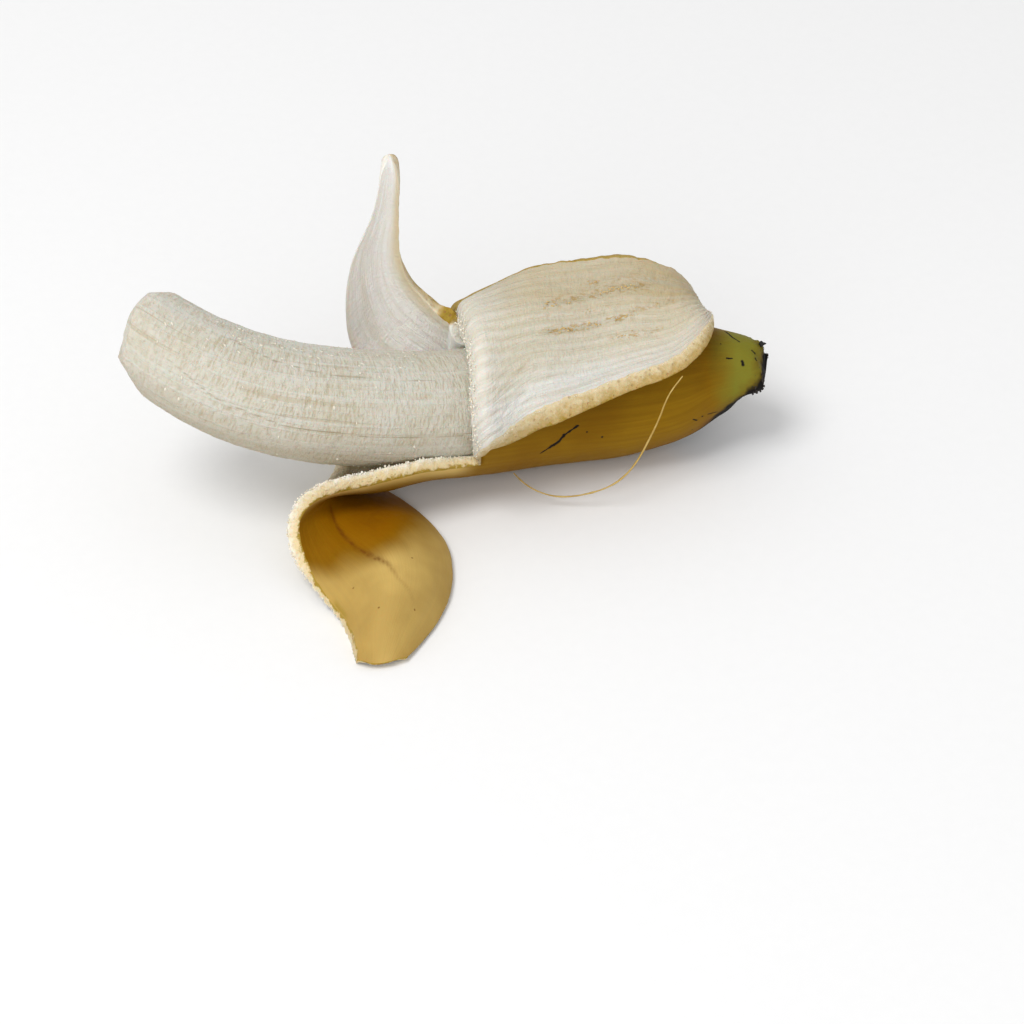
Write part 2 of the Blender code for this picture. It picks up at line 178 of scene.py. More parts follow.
# Each strip: the sector that it takes, its rows, and its stations as near edge, far edge and middle bulge.
# The pith and skin lists say how far the inner face and the skin draw back from the near, far and tip edge, from the
# root outwards, raise how far the skin's far edge lifts to the inner face, and the tone lists how ochre the edge is.
# Rag is how unevenly it is torn, bulge how round it is, slim the width below which all this gets less, relief how
# strong the raised bundles are, and dome and tipRound how the tip is rounded.
strips = {
    "folded": {
        "from": 0, "to": 160, "rows": 168, "blend": (0, 12), "tip": "tipThickness",
        "pithNear": [(0, 0), (3, 1.2), (6, 3.2), (9, 4.2), (13, 3.8), (18, 2.9), (26, 2.4), (62, 2.6), (70, 2.0),
            (80, 1.2)],
        "pithFar": [(0, 3.0), (6.5, 3.2), (9, 2.5), (12, 1.7), (15.5, 1.0), (20, 0.5), (50, 0.3), (62, -0.3),
            (70, 0.5), (78, 1.6), (84, 1.4)],
        "pithTip": [(0, 2.2), (0.25, 1.5), (0.45, 1.1), (1, 0.9)],
        "skinTip": [(0, 0), (0.3, 0.9), (0.6, 1.0), (1, 0.5)],
        "skinNear": [(0, 0), (8, -0.3), (14, -1.5), (20, -2.2), (28, -2.4), (38, -1.4), (50, -0.2), (60, 0.2)],
        "skinFar": [(0, -2.4), (6, -3.4), (14, -3.0), (24, -2.0), (34, -0.9), (48, -0.3), (66, -0.3), (72, 0.2),
            (78, 0.8), (84, 0.8)],
        "raise": [(0, 1.0), (3, 2.6), (12, 2.8), (18, 1.9), (28, 0.4), (34, 0)],
        "toneNear": [(0, 0.8), (8, 0.95), (60, 1.0)], "toneFar": [(0, 2), (40, 1.9), (84, 1.5)],
        "rag": 0.3, "tipRound": 2.0, "bulge": (0.26, 0.12),
        "stations": [((-24, -28.4, 24.6), (-27, 7.5, 43.6), -10.5), ((-15, -26.2, 28.7), (-17.5, 8.5, 48), -4),
            ((-3, -23, 31.6), (-3, 10.5, 50.2), 2.4), ((10, -18.5, 34.2), (8, 12, 49.8), 4),
            ((20, -14.5, 36.5), (16, 13.5, 45.5), 3.4), ((26, -7.5, 38.5), (20.5, 15.5, 40.5), 1.6),
            ((28.5, 2.5, 36.5), (23.5, 18.5, 33.5), 0.8), ((28.5, 13.5, 30.5), (25, 22.5, 25.5), 0.8),
            ((28.2, 22.5, 20), (25.8, 27, 16.5), 0.5), ((27.8, 28, 9), (26.4, 30, 8), 0.2),
            ((27.4, 30.2, -0.6), (26.4, 31.8, -0.6), 0.1)],
    },
    "standing": {
        "from": 160, "to": 250, "rows": 112, "blend": (0, 9), "tip": "stubThickness",
        "pithNear": [(0, -2.5), (7, -3.6), (10.5, -2.8), (13, -1.4), (17, -0.8), (60, -0.8), (80, -0.3)],
        "pithFar": [(0, 0), (12, -1.8), (38, -2.6), (52, -2.0), (62, -1.0), (80, -0.4)],
        "skinNear": [(0, -2.0), (7, -3.0), (11, -4.2), (13.5, -3.6), (15.5, -1.4), (18, 0.4), (30, 2.0), (60, 2.0),
            (80, 0.8)],
        "skinFar": [(0, 0), (14, 1.6), (38, 2.4), (52, 3.0), (64, 3.2), (80, 1.2)],
        "toneNear": [(0, 0), (7.5, 0), (9.5, 2), (14.5, 2), (17, 0.75), (60, 0.75), (80, 0.4)],
        "rag": 0.06, "slim": 7, "dome": 3.4, "bulge": (0.04, 0.08), "relief": 0.6,
        "stations": [((-39.5, 4.5, 38), (-48, 4.5, 15), 4.5), ((-44, 6.5, 42.5), (-60, 6.5, 24), 4.5),
            ((-48, 8, 48), (-63, 7, 41), 4), ((-49.7, 9, 55), (-61, 7.8, 54), 2.5),
            ((-49.8, 9.2, 62), (-57.7, 8.2, 62.5), 1.5), ((-49.6, 9.2, 70), (-55.4, 8.5, 71), 0.8),
            ((-49.4, 8.8, 77), (-54.2, 8.3, 77.5), 0.5), ((-50.2, 8.6, 82.3), (-52.9, 8.4, 82.5), 0.2)],
    },
    "curled": {
        "from": 250, "to": 360, "rows": 176, "blend": (6, 30), "tip": "tipThickness",
        "pithNear": [(0, 0), (10, 1.0)],
        "pithFar": [(0, 0), (10, -0.3), (34, 0.2), (44, 2.4), (56, 2.8), (64, 2.4), (72, 1.5), (80, 0.4), (88, -0.9),
            (96, -1.4), (104, -1.1), (109, -0.4)],
        "pithTip": [(0, 0.4), (1, 0.9)],
        "skinFar": [(0, 0), (10, 1.2), (24, 2.0), (40, 3.2), (48, 4.0), (56, 4.0), (66, 3.0), (76, 2.4), (84, 2.4),
            (94, 2.8), (102, 2.4), (109, 1.0)],
        "toneNear": [(0, 0.8)], "toneFar": [(0, 0.35), (50, 0.1), (80, 0.2), (90, 0.6)],
        "rag": 0.34, "tipRound": 1.3, "bulge": (0.28, 0.26),
        "stations": [((-47.5, -5, 10.4), (-46.5, -33.4, 17.4), 9.6), ((-56.5, -6.5, 9.8), (-62, -37, 17.6), 7.4),
            ((-63.5, -8.5, 7.4), (-72, -41.5, 16.4), 4.8), ((-64.5, -12.5, 2.4), (-76.2, -48, 13.3), 2.5),
            ((-58.5, -18, 0.8), (-75.6, -55, 8.2), 2.5), ((-48.3, -27.5, 0.8), (-71, -62, 3.4), 5.5),
            ((-39.8, -40, 0.8), (-65.8, -67, 1.2), 8.5), ((-37.4, -54, 0.8), (-62.3, -72, 0.8), 9.6),
            ((-39.4, -66, 0.8), (-60.3, -77, 0.8), 9), ((-44.2, -76.5, 0.8), (-59.2, -81.5, 0.8), 6),
            ((-48, -83.6, 0.8), (-58.4, -85, 0.8), 0.4)],
    },
}
# The fold: how high and how far out it turns at the near and the far edge, how much it twists, how it thins, and
# how often the surface just after it is smoothed, about which row and how many rows to each side.
foldShape = {"nearRadius": 2.3, "farRadius": 4.8, "nearReach": 1.4, "farReach": 2.6, "nearTurn": 26, "farTurn": -6,
             "thin": 0.38, "smoothings": 260, "smoothRow": 11, "smoothReach": 10.0}
noEdge = 99.0  # the distance to a torn edge where there is none

places, radii = zip(*peelShape["skinRadius"])
skinCurve = smoothCurve(places, radii)


def skinMiddle(x):
    return skinCurve(np.ravel(x))[:, 0].reshape(np.shape(x)) - peelShape["thickness"] / 2


def rootPlace(angles):
    return peelShape["rootX"] - peelShape["rootLean"] * np.cos(np.radians(angles - peelShape["rootLeanAngle"]))


def loft(start, stations, columns, rows):
    first = np.array([start[0]] + [s[0] for s in stations], float)
    second = np.array([start[1]] + [s[1] for s in stations], float)
    knots = runLengths((first + second) / 2)
    edges = smoothCurve(knots, np.hstack([first, second]))
    where = np.linspace(0, knots[-1], rows + 1)
    bulges = smoothCurve(knots, [start[2]] + [s[2] for s in stations])(where)[:, 0]
    ends = edges(where)
    ahead = edges(np.minimum(where + 0.5, knots[-1])) - edges(np.maximum(where - 0.5, 0))
    along = unit(ahead[:, :3] + ahead[:, 3:])
    skinWay = unit(np.cross(unit(ends[:, 3:] - ends[:, :3]), along))
    share = np.linspace(0, 1, columns + 1)[None, :, None]
    bow = 4 * share * (1 - share) * bulges[:, None, None] * skinWay[:, None]
    return ends[:, None, :3] * (1 - share) + ends[:, None, 3:] * share + bow, where


def straightened(angle, run, radius=16.2):  # where a point lies on the uncut, straight fruit
    turn = np.radians(angle)
    return np.stack(np.broadcast_arrays(radius * np.cos(turn), radius * np.sin(turn), run), -1)


def rootLine(points):
    middle = points[len(points) // 2]
    return points[0], points[-1], np.linalg.norm(middle - (points[0] + points[-1]) / 2)


def stripSurface(name):
    strip = strips[name]
    columns = round((strip["to"] - strip["from"]) / peelShape["columnAngle"])
    angles = peelShape["splitAngle"] + np.linspace(strip["from"], strip["to"], columns + 1)
    startX = rootPlace(angles)
    if name != "folded":
        start = rootLine(around(startX, skinMiddle(startX), angles))
        free, where = loft(start, strip["stations"], columns, strip["rows"])
        x = startX[None, :] - where[:, None]
        laid = around(x, skinMiddle(x), angles[None, :])
        share = ease((where - strip["blend"][0]) / (strip["blend"][1] - strip["blend"][0]))[:, None, None]
        return laid * (1 - share) + free * share
    share = np.linspace(0, 1, columns + 1)
    foldRadius = foldShape["nearRadius"] + (foldShape["farRadius"] - foldShape["nearRadius"]) * share
    foldReach = foldShape["nearReach"] + (foldShape["farReach"] - foldShape["nearReach"]) * share
    turns = np.linspace(0, math.pi, peelShape["foldRows"] + 1)[:, None]
    lifted = angles + (foldShape["nearTurn"] * (1 - share) ** 2 + foldShape["farTurn"] * share ** 2) * turns / math.pi
    height = skinMiddle(startX) + foldRadius * (1 - np.cos(turns))
    fold = around(startX - foldReach * np.sin(turns), height, lifted)
    near, far, arch = rootLine(fold[-1])
    free, where = loft((near, far, -arch), strip["stations"], columns, strip["rows"])
    x = startX[None, :] + where[:, None]
    laid = around(x, skinMiddle(startX) + 2 * foldRadius, lifted[-1])
    blended = ease(where / strip["blend"][1])[:, None, None]
    made = np.concatenate([fold, (laid * (1 - blended) + free * blended)[1:]])
    rows = np.arange(len(made))
    rows = (rows - peelShape["foldRows"] - foldShape["smoothRow"]) / foldShape["smoothReach"]
    soften = np.exp(-rows ** 4)[:, None, None] * 0.5 * (0.4 + 0.6 * rise(share, 0.08, 0.3))[None, :, None]
    for _ in range(foldShape["smoothings"]):
        mean = made.copy()
        mean[1:-1] = (made[:-2] + made[2:]) / 2
        made = made + soften * (mean - made)
    return made


def buildPeelSurface():  # the middle of the thickness as one open sheet, with what each vertex needs to know
    columns = round(360 / peelShape["columnAngle"])
    angles = peelShape["splitAngle"] + peelShape["columnAngle"] * np.arange(columns)
    startX = rootPlace(angles)
    share = np.linspace(0, 1, peelShape["cupRows"] + 1)[:, None]
    x = peelShape["cupEnd"] + (startX - peelShape["cupEnd"]) * share ** peelShape["rowSpread"]
    cup = around(x, skinMiddle(x), angles)
    low = np.clip((middleLine(x.ravel())[:, 2].reshape(x.shape) - cup[..., 2]) / skinMiddle(x), 0, 1)
    cup[..., 2] += peelShape["endLift"] * rise(x, 22, 18) * low
    belly = peelShape["bellyLift"] * rise(x, 2, 12) * rise(x, 34, -10)
    cup[..., 2] += (belly + peelShape["rimLift"] * rise(x, 36.5, 3.5)) * low
    cup[..., 0] -= peelShape["endShear"] * rise(x, 30, 10) * low ** 2
    outer = bell(angles - peelShape["bulgeAngle"], peelShape["bulgeWide"])
    cup[..., 0] += peelShape["endBulge"] * rise(x, 34, 5) * outer
    points, quads, thickness, flow, place = [], [], [], [], []

    def keep(rows, thick, straight, where):
        start = sum(len(p) for p in points)
        points.append(rows.reshape(-1, 3))
        thickness.append(np.broadcast_to(thick, rows.shape[:2]).ravel())
        flow.append(straight.reshape(-1, 3))
        place.append(where.reshape(-1, 4))
        return start + np.arange(rows.shape[0] * rows.shape[1]).reshape(rows.shape[:2])

    uncut = straightened(angles[None, :], x - startX)
    cupIndex = keep(cup, peelShape["thickness"], uncut, np.full(cup.shape[:2] + (4,), noEdge))
    lower, upper = cupIndex[:-1], cupIndex[1:]
    quads.append(np.stack([lower, np.roll(lower, -1, 1), np.roll(upper, -1, 1), upper], -1).reshape(-1, 4))
    root = np.concatenate([cupIndex[-1], cupIndex[-1][:1]])
    loop, grids = [], {}
    for name, strip in strips.items():
        rows = stripSurface(name)
        first = round(strip["from"] / peelShape["columnAngle"])
        last = round(strip["to"] / peelShape["columnAngle"])
        run = runLengths(rows).mean(1)
        acrossRun = runLengths(rows.transpose(1, 0, 2)).T
        tipRun = (run[-1] - run)[:, None] + 0 * acrossRun
        t = np.linspace(-1, 1, rows.shape[1])[None, :, None]
        alongWay = unit(np.gradient(rows, axis=0))
        rows = rows - alongWay * strip.get("tipRound", 0) * t ** 2 * (np.clip(1 - tipRun / 9, 0, 1) ** 2)[..., None]
        tipward = rise(run / run[-1], 0.55, 0.4)
        thick = peelShape["thickness"] + (peelShape[strip["tip"]] - peelShape["thickness"]) * tipward
        if "dome" in strip:  # a tip that rounds off like a knob
            close = np.sqrt(np.clip(1 - (1 - (run[-1] - run) / strip["dome"]).clip(0, 1) ** 2, 0.03, 1))
            middle = rows.mean(1, keepdims=True)
            rows = middle + (rows - middle) * close[:, None, None]
            thick = thick * close
        if name == "folded":
            steps = np.arange(len(run)) / peelShape["foldRows"]
            thick = thick * (1 - foldShape["thin"] * np.sin(np.pi * np.minimum(steps, 1)))
        angle = peelShape["splitAngle"] + np.linspace(strip["from"], strip["to"], rows.shape[1])
        where = np.stack([acrossRun, acrossRun[:, -1:] - acrossRun, tipRun, run[:, None] + 0 * acrossRun], -1)
        index = keep(rows[1:], thick[1:, None], straightened(angle[None, :], -run[1:, None]), where[1:])
        full = np.vstack([root[first:last + 1], index])
        lower, upper = full[:-1], full[1:]
        quads.append(np.stack([lower[:, :-1], lower[:, 1:], upper[:, 1:], upper[:, :-1]], -1).reshape(-1, 4))
        loop += list(full[:, 0]) + list(full[-1, 1:-1]) + list(full[::-1, -1])[:-1]
        grids[name] = full
    points = np.concatenate(points)
    pole = len(points)
    points = np.vstack([points, middleLine(peelShape["cupEnd"] + peelShape["poleStep"])])
    thickness = np.append(np.concatenate(thickness), peelShape["thickness"])
    flow = np.vstack([np.concatenate(flow), [[0, 0, 75.0]]])
    place = np.vstack([np.concatenate(place), [[noEdge] * 4]])
    fan = np.stack([np.full(columns, pole), np.roll(cupIndex[0], -1), cupIndex[0]], -1)
    return {"points": points, "quads": np.concatenate(quads), "fan": fan, "thickness": thickness, "flow": flow,
        "place": place, "loop": np.array(loop), "grids": grids, "cup": cupIndex}


sheet = buildPeelSurface()
print("peel sheet:", len(sheet["points"]), "points")

peelRelief = {
    "bundleGap": {"folded": 3.3, "standing": 3.6, "curled": 4.0},  # between the raised bundles of the inner face
    "bundleHeight": 0.32, "bundleWidth": 1.0, "bundleWander": 1.1,
    # the crease across the curled strip's skin: (run, place across), its depth, and where it is deep
    "crease": [(46, 0.475), (50, 0.51), (54.5, 0.565), (60, 0.605), (66, 0.625), (73.5, 0.59), (79.5, 0.53),
               (86.5, 0.49), (90, 0.42), (94, 0.33)],
    "creaseDepth": 0.5, "creaseRun": (46, 76),
    # where the painted shade in the curled strip's hollow ends: (place across, run)
    "hollowShadeEnd": [(0, 64), (0.2, 69), (0.4, 73), (0.55, 71), (0.68, 68), (0.8, 63), (0.92, 58), (1, 55)],
    "skinUneven": 0.05, "endUneven": 0.55,
}
# Rows of brown specks on the folded strip: each a list of (run, place across), a width and a strength.
speckRows = [([(27, 0.70), (34, 0.73), (41, 0.76), (47, 0.77), (58, 0.81)], 1.1, 1.0),
             ([(24, 0.515), (32, 0.525), (37, 0.54), (45, 0.56), (52, 0.57)], 0.9, 1.0),
             ([(50, 0.61), (56, 0.64), (64, 0.70)], 0.8, 0.7),
             ([(43, 0.43), (52, 0.415), (60, 0.44)], 0.8, 0.7),
             ([(20, 0.61), (36, 0.63), (50, 0.66)], 0.6, 0.35),
             ([(36, 0.82), (48, 0.85), (62, 0.88)], 0.8, 0.45),
             ([(9, 0.22), (16, 0.30), (26, 0.38)], 0.5, 0.3)]


def followStrip(strip, key, where):  # nothing where the strip has no such list
    return follow(where, strip.get(key, [(0, 0)]))


def bundleHeights(y, run, gap, seed):  # the raised bundles that run along the inside of the peel
    wander = y + peelRelief["bundleWander"] * softNoise(run / 15, y / 9, seed)
    number = np.round(wander / gap)
    strength = 0.7 + 0.3 * softNoise(run / 8, number * 5.3, seed + 1)
    return strength * bell(wander - number * gap, peelRelief["bundleWidth"])


def buildPeel():
    points, place, thickness = sheet["points"], sheet["place"], sheet["thickness"]
    fan = sheet["fan"]
    normals = vertexNormals(points, np.vstack([sheet["quads"], fan[:, [0, 1, 2, 2]]]))
    skinMove, pithMove = np.zeros_like(points), np.zeros_like(points)
    outward, tornRun = np.zeros_like(points), np.zeros(len(points))
    names = "bruise specks ridge tone white blush olive hollow pale crumbs dim"
    looks = {key: np.zeros(len(points)) for key in names.split()}
    relief, rounding = np.zeros(len(points)), np.zeros(len(points))
    for seed, (name, strip) in enumerate(strips.items()):
        grid = sheet["grids"][name]
        across, along = (unit(np.gradient(points[grid], axis=axis)) for axis in (1, 0))
        near, far, tip, run = place[grid].transpose(2, 0, 1)
        near[0], far[0], tip[0], run[0] = near[1], far[1], tip[1] + run[1], 0
        width = near[:, -1:] + 0 * near
        slim = np.minimum(1, width / strip.get("slim", 14))
        t = near / np.maximum(width, 0.1)
        rag = strip["rag"] * ease(run / 9) * np.minimum(1, width / 8)
        edges = ((near, across, "Near", run, run), (far, -across, "Far", run, run), (tip, -along, "Tip", t, near))
        for row, (distance, way, edge, where, followed) in enumerate(edges):
            ragged = np.clip(1 - distance / 3.4, 0, 1) ** 2 * rag
            for moved, key, grain, amount in ((pithMove, "pith", 1.7, 1), (skinMove, "skin", 2.6, 0.35)):
                back = followStrip(strip, key + edge, where)
                shift = back * slim * np.clip(1 - distance / np.maximum(8, 4.2 * abs(back)), 0, 1) ** 2
                uneven = roughNoise(followed / grain, row * 9.1, 30 + 20 * amount + seed)
                moved[grid] += way * (shift + amount * ragged * uneven)[..., None]
        lifted = followStrip(strip, "raise", run) * np.clip(1 - far / 6, 0, 1) ** 2
        skinMove[grid] -= normals[grid] * lifted[..., None]
        outward[grid[1:, 0]] -= across[1:, 0]
        outward[grid[1:, -1]] += across[1:, -1]
        outward[grid[-1]] += along[-1]
        outward[grid[0, 0]] += along[0, 0]
        tornRun[grid[:, 0]], tornRun[grid[:, -1]] = run[:, 0] + 200 * seed, run[:, -1] + 200 * seed + 700
        tornRun[grid[-1]] = run[-1] + near[-1] + 200 * seed
        rounding[grid] = np.linspace(*strip["bulge"], grid.shape[1])
        fade = (0.35 + 0.65 * ease(near / 3) * ease(far / 3)) * rise(tip, 3, 20) * ease(run / 5)
        y = (t - 0.62) * width ** 0.45 * width.max() ** 0.55
        ridge = bundleHeights(y, run, peelRelief["bundleGap"][name], 70 + 5 * seed)
        looks["ridge"][grid[1:]] = (1 - rise(tip, 2, 24) * (1 - ridge))[1:]
        lumps = 0.15 * roughNoise(run / 1.9, near / 0.9, 90 + seed, 2)
        relief[grid[1:]] = (strip.get("relief", 1) * fade * (peelRelief["bundleHeight"] * ridge + lumps))[1:]
        toneNear, toneFar = (followStrip(strip, key, run) for key in ("toneNear", "toneFar"))
        looks["tone"][grid] = follow(t, [(0.3, 0), (0.7, 1)]) * (toneFar - toneNear) + toneNear
        if name == "curled":
            offset = (t - follow(run, peelRelief["crease"]) - 0.012 * softNoise(run / 5, 0.5, 5)) * width
            start, end = peelRelief["creaseRun"]
            valley = rise(run, start, 6) * rise(run, end + 12, -16)
            crease = valley * peelRelief["creaseDepth"] * bell(offset, 2.2)
            skinMove[grid] -= normals[grid] * crease[..., None]
            # painted shade: the curled strip's hollow, under the flesh and inside the curl, is painted a darker orange
            # up to this run
            shadeEnd = follow(t, peelRelief["hollowShadeEnd"]) + 3.4 * softNoise(run / 9, t * 6, 8)
            bruise = valley * bell(offset, 0.6)
            bruise += 0.35 * rise(run, start, 8) * rise(run, end + 26, -16) * bell(offset, 0.4)
            # painted shade: a broad brown darkening over the upper hollow, where the flesh shades the curled strip; the
            # two lines above are the real bruise along the crease
            bruise += 0.55 * rise(t, 0.6, -0.3) * rise(run, 42, 10) * rise(run, shadeEnd - 2, -10)
            looks["bruise"][grid] = bruise
            looks["hollow"][grid] = rise(run, 26, 14) * rise(run, shadeEnd + 5, -11) * (1 - 0.5 * rise(t, 0.45, 0.45))
            # painted light: beyond the hollow's shade the lobe's skin is painted paler, most in its middle, and a pale
            # band runs along the far edge where light falls from above
            pale = rise(run, shadeEnd - 2, 12) * (0.85 + 0.15 * softNoise(run / 14, t * 3, 9))
            pale = pale * (0.55 + 0.45 * bell(t - 0.45, 0.35)) + bell(far, 5) * rise(run, 46, -12) * ease(run / 8)
            looks["pale"][grid] = np.clip(pale, 0, 1)
            looks["olive"][grid] = rise(run, 72, 4) * rise(run, 86, -5) * bell(far - 1.2, 0.7)
            looks["blush"][grid] = 0.7
            looks["specks"][grid] = 1.2 * rise(run, 80, 8) * bell(far, 4)
            share = np.where(far < 0.1, 1, np.where(near < 0.1, 0.3, 0.1))
            looks["crumbs"][grid] = share * ease(run / 8) * (1 - 0.85 * rise(run, 78, 8))
        if name == "standing":
            looks["white"][grid] = np.maximum(0.45 + 0.55 * ease(t / 0.3), 1 - rise(run, 8, 4))
            looks["ridge"][grid] = 0.45 + 0.55 * looks["ridge"][grid]
            looks["blush"][grid] = 0.8 * rise(t, 0.3, -0.3) * rise(run, 4, 16)
            looks["olive"][grid] = 0.4 * bell(near, 2.4) * rise(run, 20, 16) * rise(tip, 2, 12)
            looks["crumbs"][grid] = 0
        if name == "folded":
            for row, wide, strength in speckRows:
                away = (t - follow(run, row)) * width
                inRow = rise(run, row[0][0], 4) * rise(run, row[-1][0], -4)
                looks["specks"][grid] += strength * bell(away / wide, 1.3) * inRow
                relief[grid] += strength * (0.3 * bell(away - 0.9, 0.7) - 0.3 * bell(away + 0.4, 0.6)) * inRow
            white = 0.25 + 0.75 * bell(near - 3, 7.5) * (1 - 0.25 * rise(run, 55, 20))
            looks["white"][grid] = np.clip(white + 0.4 * (1 - rise(run, 4, 16)), 0, 0.82)
            looks["blush"][grid] = 0.6 * rise(run, 40, 30) + 0.8 * rise(t, 0.55, 0.25) * rise(run, 12, 15)
            # painted shade: the folded strip's inside is darkened towards near black, more along its near edge and over
            # its upper part
            looks["dim"][grid] = 0.12 + 0.07 * rise(t, 0.35, -0.2) + 0.14 * rise(t, 0.6, 0.2) * rise(run, 8, 12)
            looks["specks"][grid] += 0.7 * bell(tip, 0.7)
            looks["crumbs"][grid] = np.where(near < 0.1, 0.45, 0.15) * ease(run / 8)
    angle = np.degrees(np.arctan2(sheet["flow"][:, 1], sheet["flow"][:, 0]))
    endward = rise(points[:, 0], 35.5, 4) * (place[:, 0] == noEdge)
    skinRelief = peelRelief["skinUneven"] * roughNoise(sheet["flow"][:, 2] / 4, angle / 14, 3)
    skinRelief += peelRelief["endUneven"] * endward * roughNoise(angle / 24, points[:, 0] / 2, 11)
    half = normals * (thickness / 2)[:, None]
    skin = points + half + skinMove + normals * skinRelief[:, None]
    pith = points - half + pithMove - normals * relief[:, None]
    loop, steps = sheet["loop"], peelShape["rimSteps"]
    rim = []
    reach = rounding[loop] * thickness[loop] * (0.4 + 0.6 * ease(tornRun[loop] % 200 / 9))
    for k in range(1, steps):
        w = k / steps
        deep = (1 - math.cos(math.pi * w)) / 2
        fibres = 0.16 * roughNoise(tornRun[loop] / 5, w * 7, 15) + 0.1 * roughNoise(tornRun[loop] / 0.9, w * 5, 25)
        bulge = reach * math.sin(math.pi * w) ** 0.7 + fibres * math.sin(math.pi * w)
        rim.append(skin[loop] * (1 - deep) + pith[loop] * deep + unit(outward[loop]) * bulge[:, None])
    count, edge = len(points), len(loop)
    everything = np.vstack([skin, pith] + rim)
    everything[:, 2] = np.maximum(everything[:, 2], 0)
    layers = [loop] + [2 * count + edge * k + np.arange(edge) for k in range(steps - 1)] + [loop + count]
    faces = sheet["quads"].tolist() + fan.tolist()
    kinds = [0] * len(faces)
    inner = [[i + count for i in reversed(f)] for f in faces]
    faces += inner
    kinds += [1] * len(inner)
    for a, b in zip(layers, layers[1:]):
        quads = np.stack([a, np.roll(a, -1), np.roll(b, -1), b], -1)
        faces += quads.tolist()
        kinds += [2] * len(quads)
    layer = np.concatenate([[0.0] * count, [1.0] * count] + [[k / steps] * edge for k in range(1, steps)])
    attributes = {"layer": layer}
    for key, values in dict(looks, flow=sheet["flow"]).items():
        attributes[key] = np.concatenate([values, values] + [values[loop]] * (steps - 1))
    made = addMesh("bananaPeel", everything, faces, attributes)
    made.data.polygons.foreach_set("material_index", kinds)
    return made, skin, pith, rim, looks["crumbs"][loop]


peel, skinPoints, pithPoints, rimPoints, crumbShare = buildPeel()
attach(peel, "root")
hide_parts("peel")
print("peel made:", len(peel.data.polygons), "faces")


# the flesh

fleshShape = {
    "profile": [(-113.6, 0), (-113.5, 6), (-113.1, 9.4), (-112.0, 11.2), (-109.2, 12.2), (-103, 12.9), (-92, 13.7),
                (-70, 14.4), (-30, 14.4), (0, 14.2), (12.5, 13.6), (21, 11.8), (28, 8), (32.5, 3.8), (34, 0)],
    "rings": 460, "sides": 150, "radius": 14.4,
    "lean": 3.0, "leanStart": -92, "leanLength": -20,
    "uneven": 0.1, "striation": 0.045, "cornerHeight": 0.016, "corners": 5,
    # the broken stalk end: flat facets, each a point on it and the way that it faces
    "breaks": [((-116.2, -22, 48), (-0.93, -0.10, 0.30)), ((-112.9, -26, 38), (-0.85, -0.42, -0.32)),
               ((-110, 5.6, 41.2), (-0.05, 0.643, 0.766))],
    # hairline seams, each a list of (run, angle)
    "hairlines": [[(21, 85), (30, 86), (34, 81.6), (40, 74.4), (50, 69.6), (56, 67), (64, 67), (80, 64)],
                  [(20, 38), (23.4, 33.6), (31.5, 19.2), (40, 14.4), (45, 9.6), (55, 9.6), (63, 7.2), (84, 7.2)]],
}


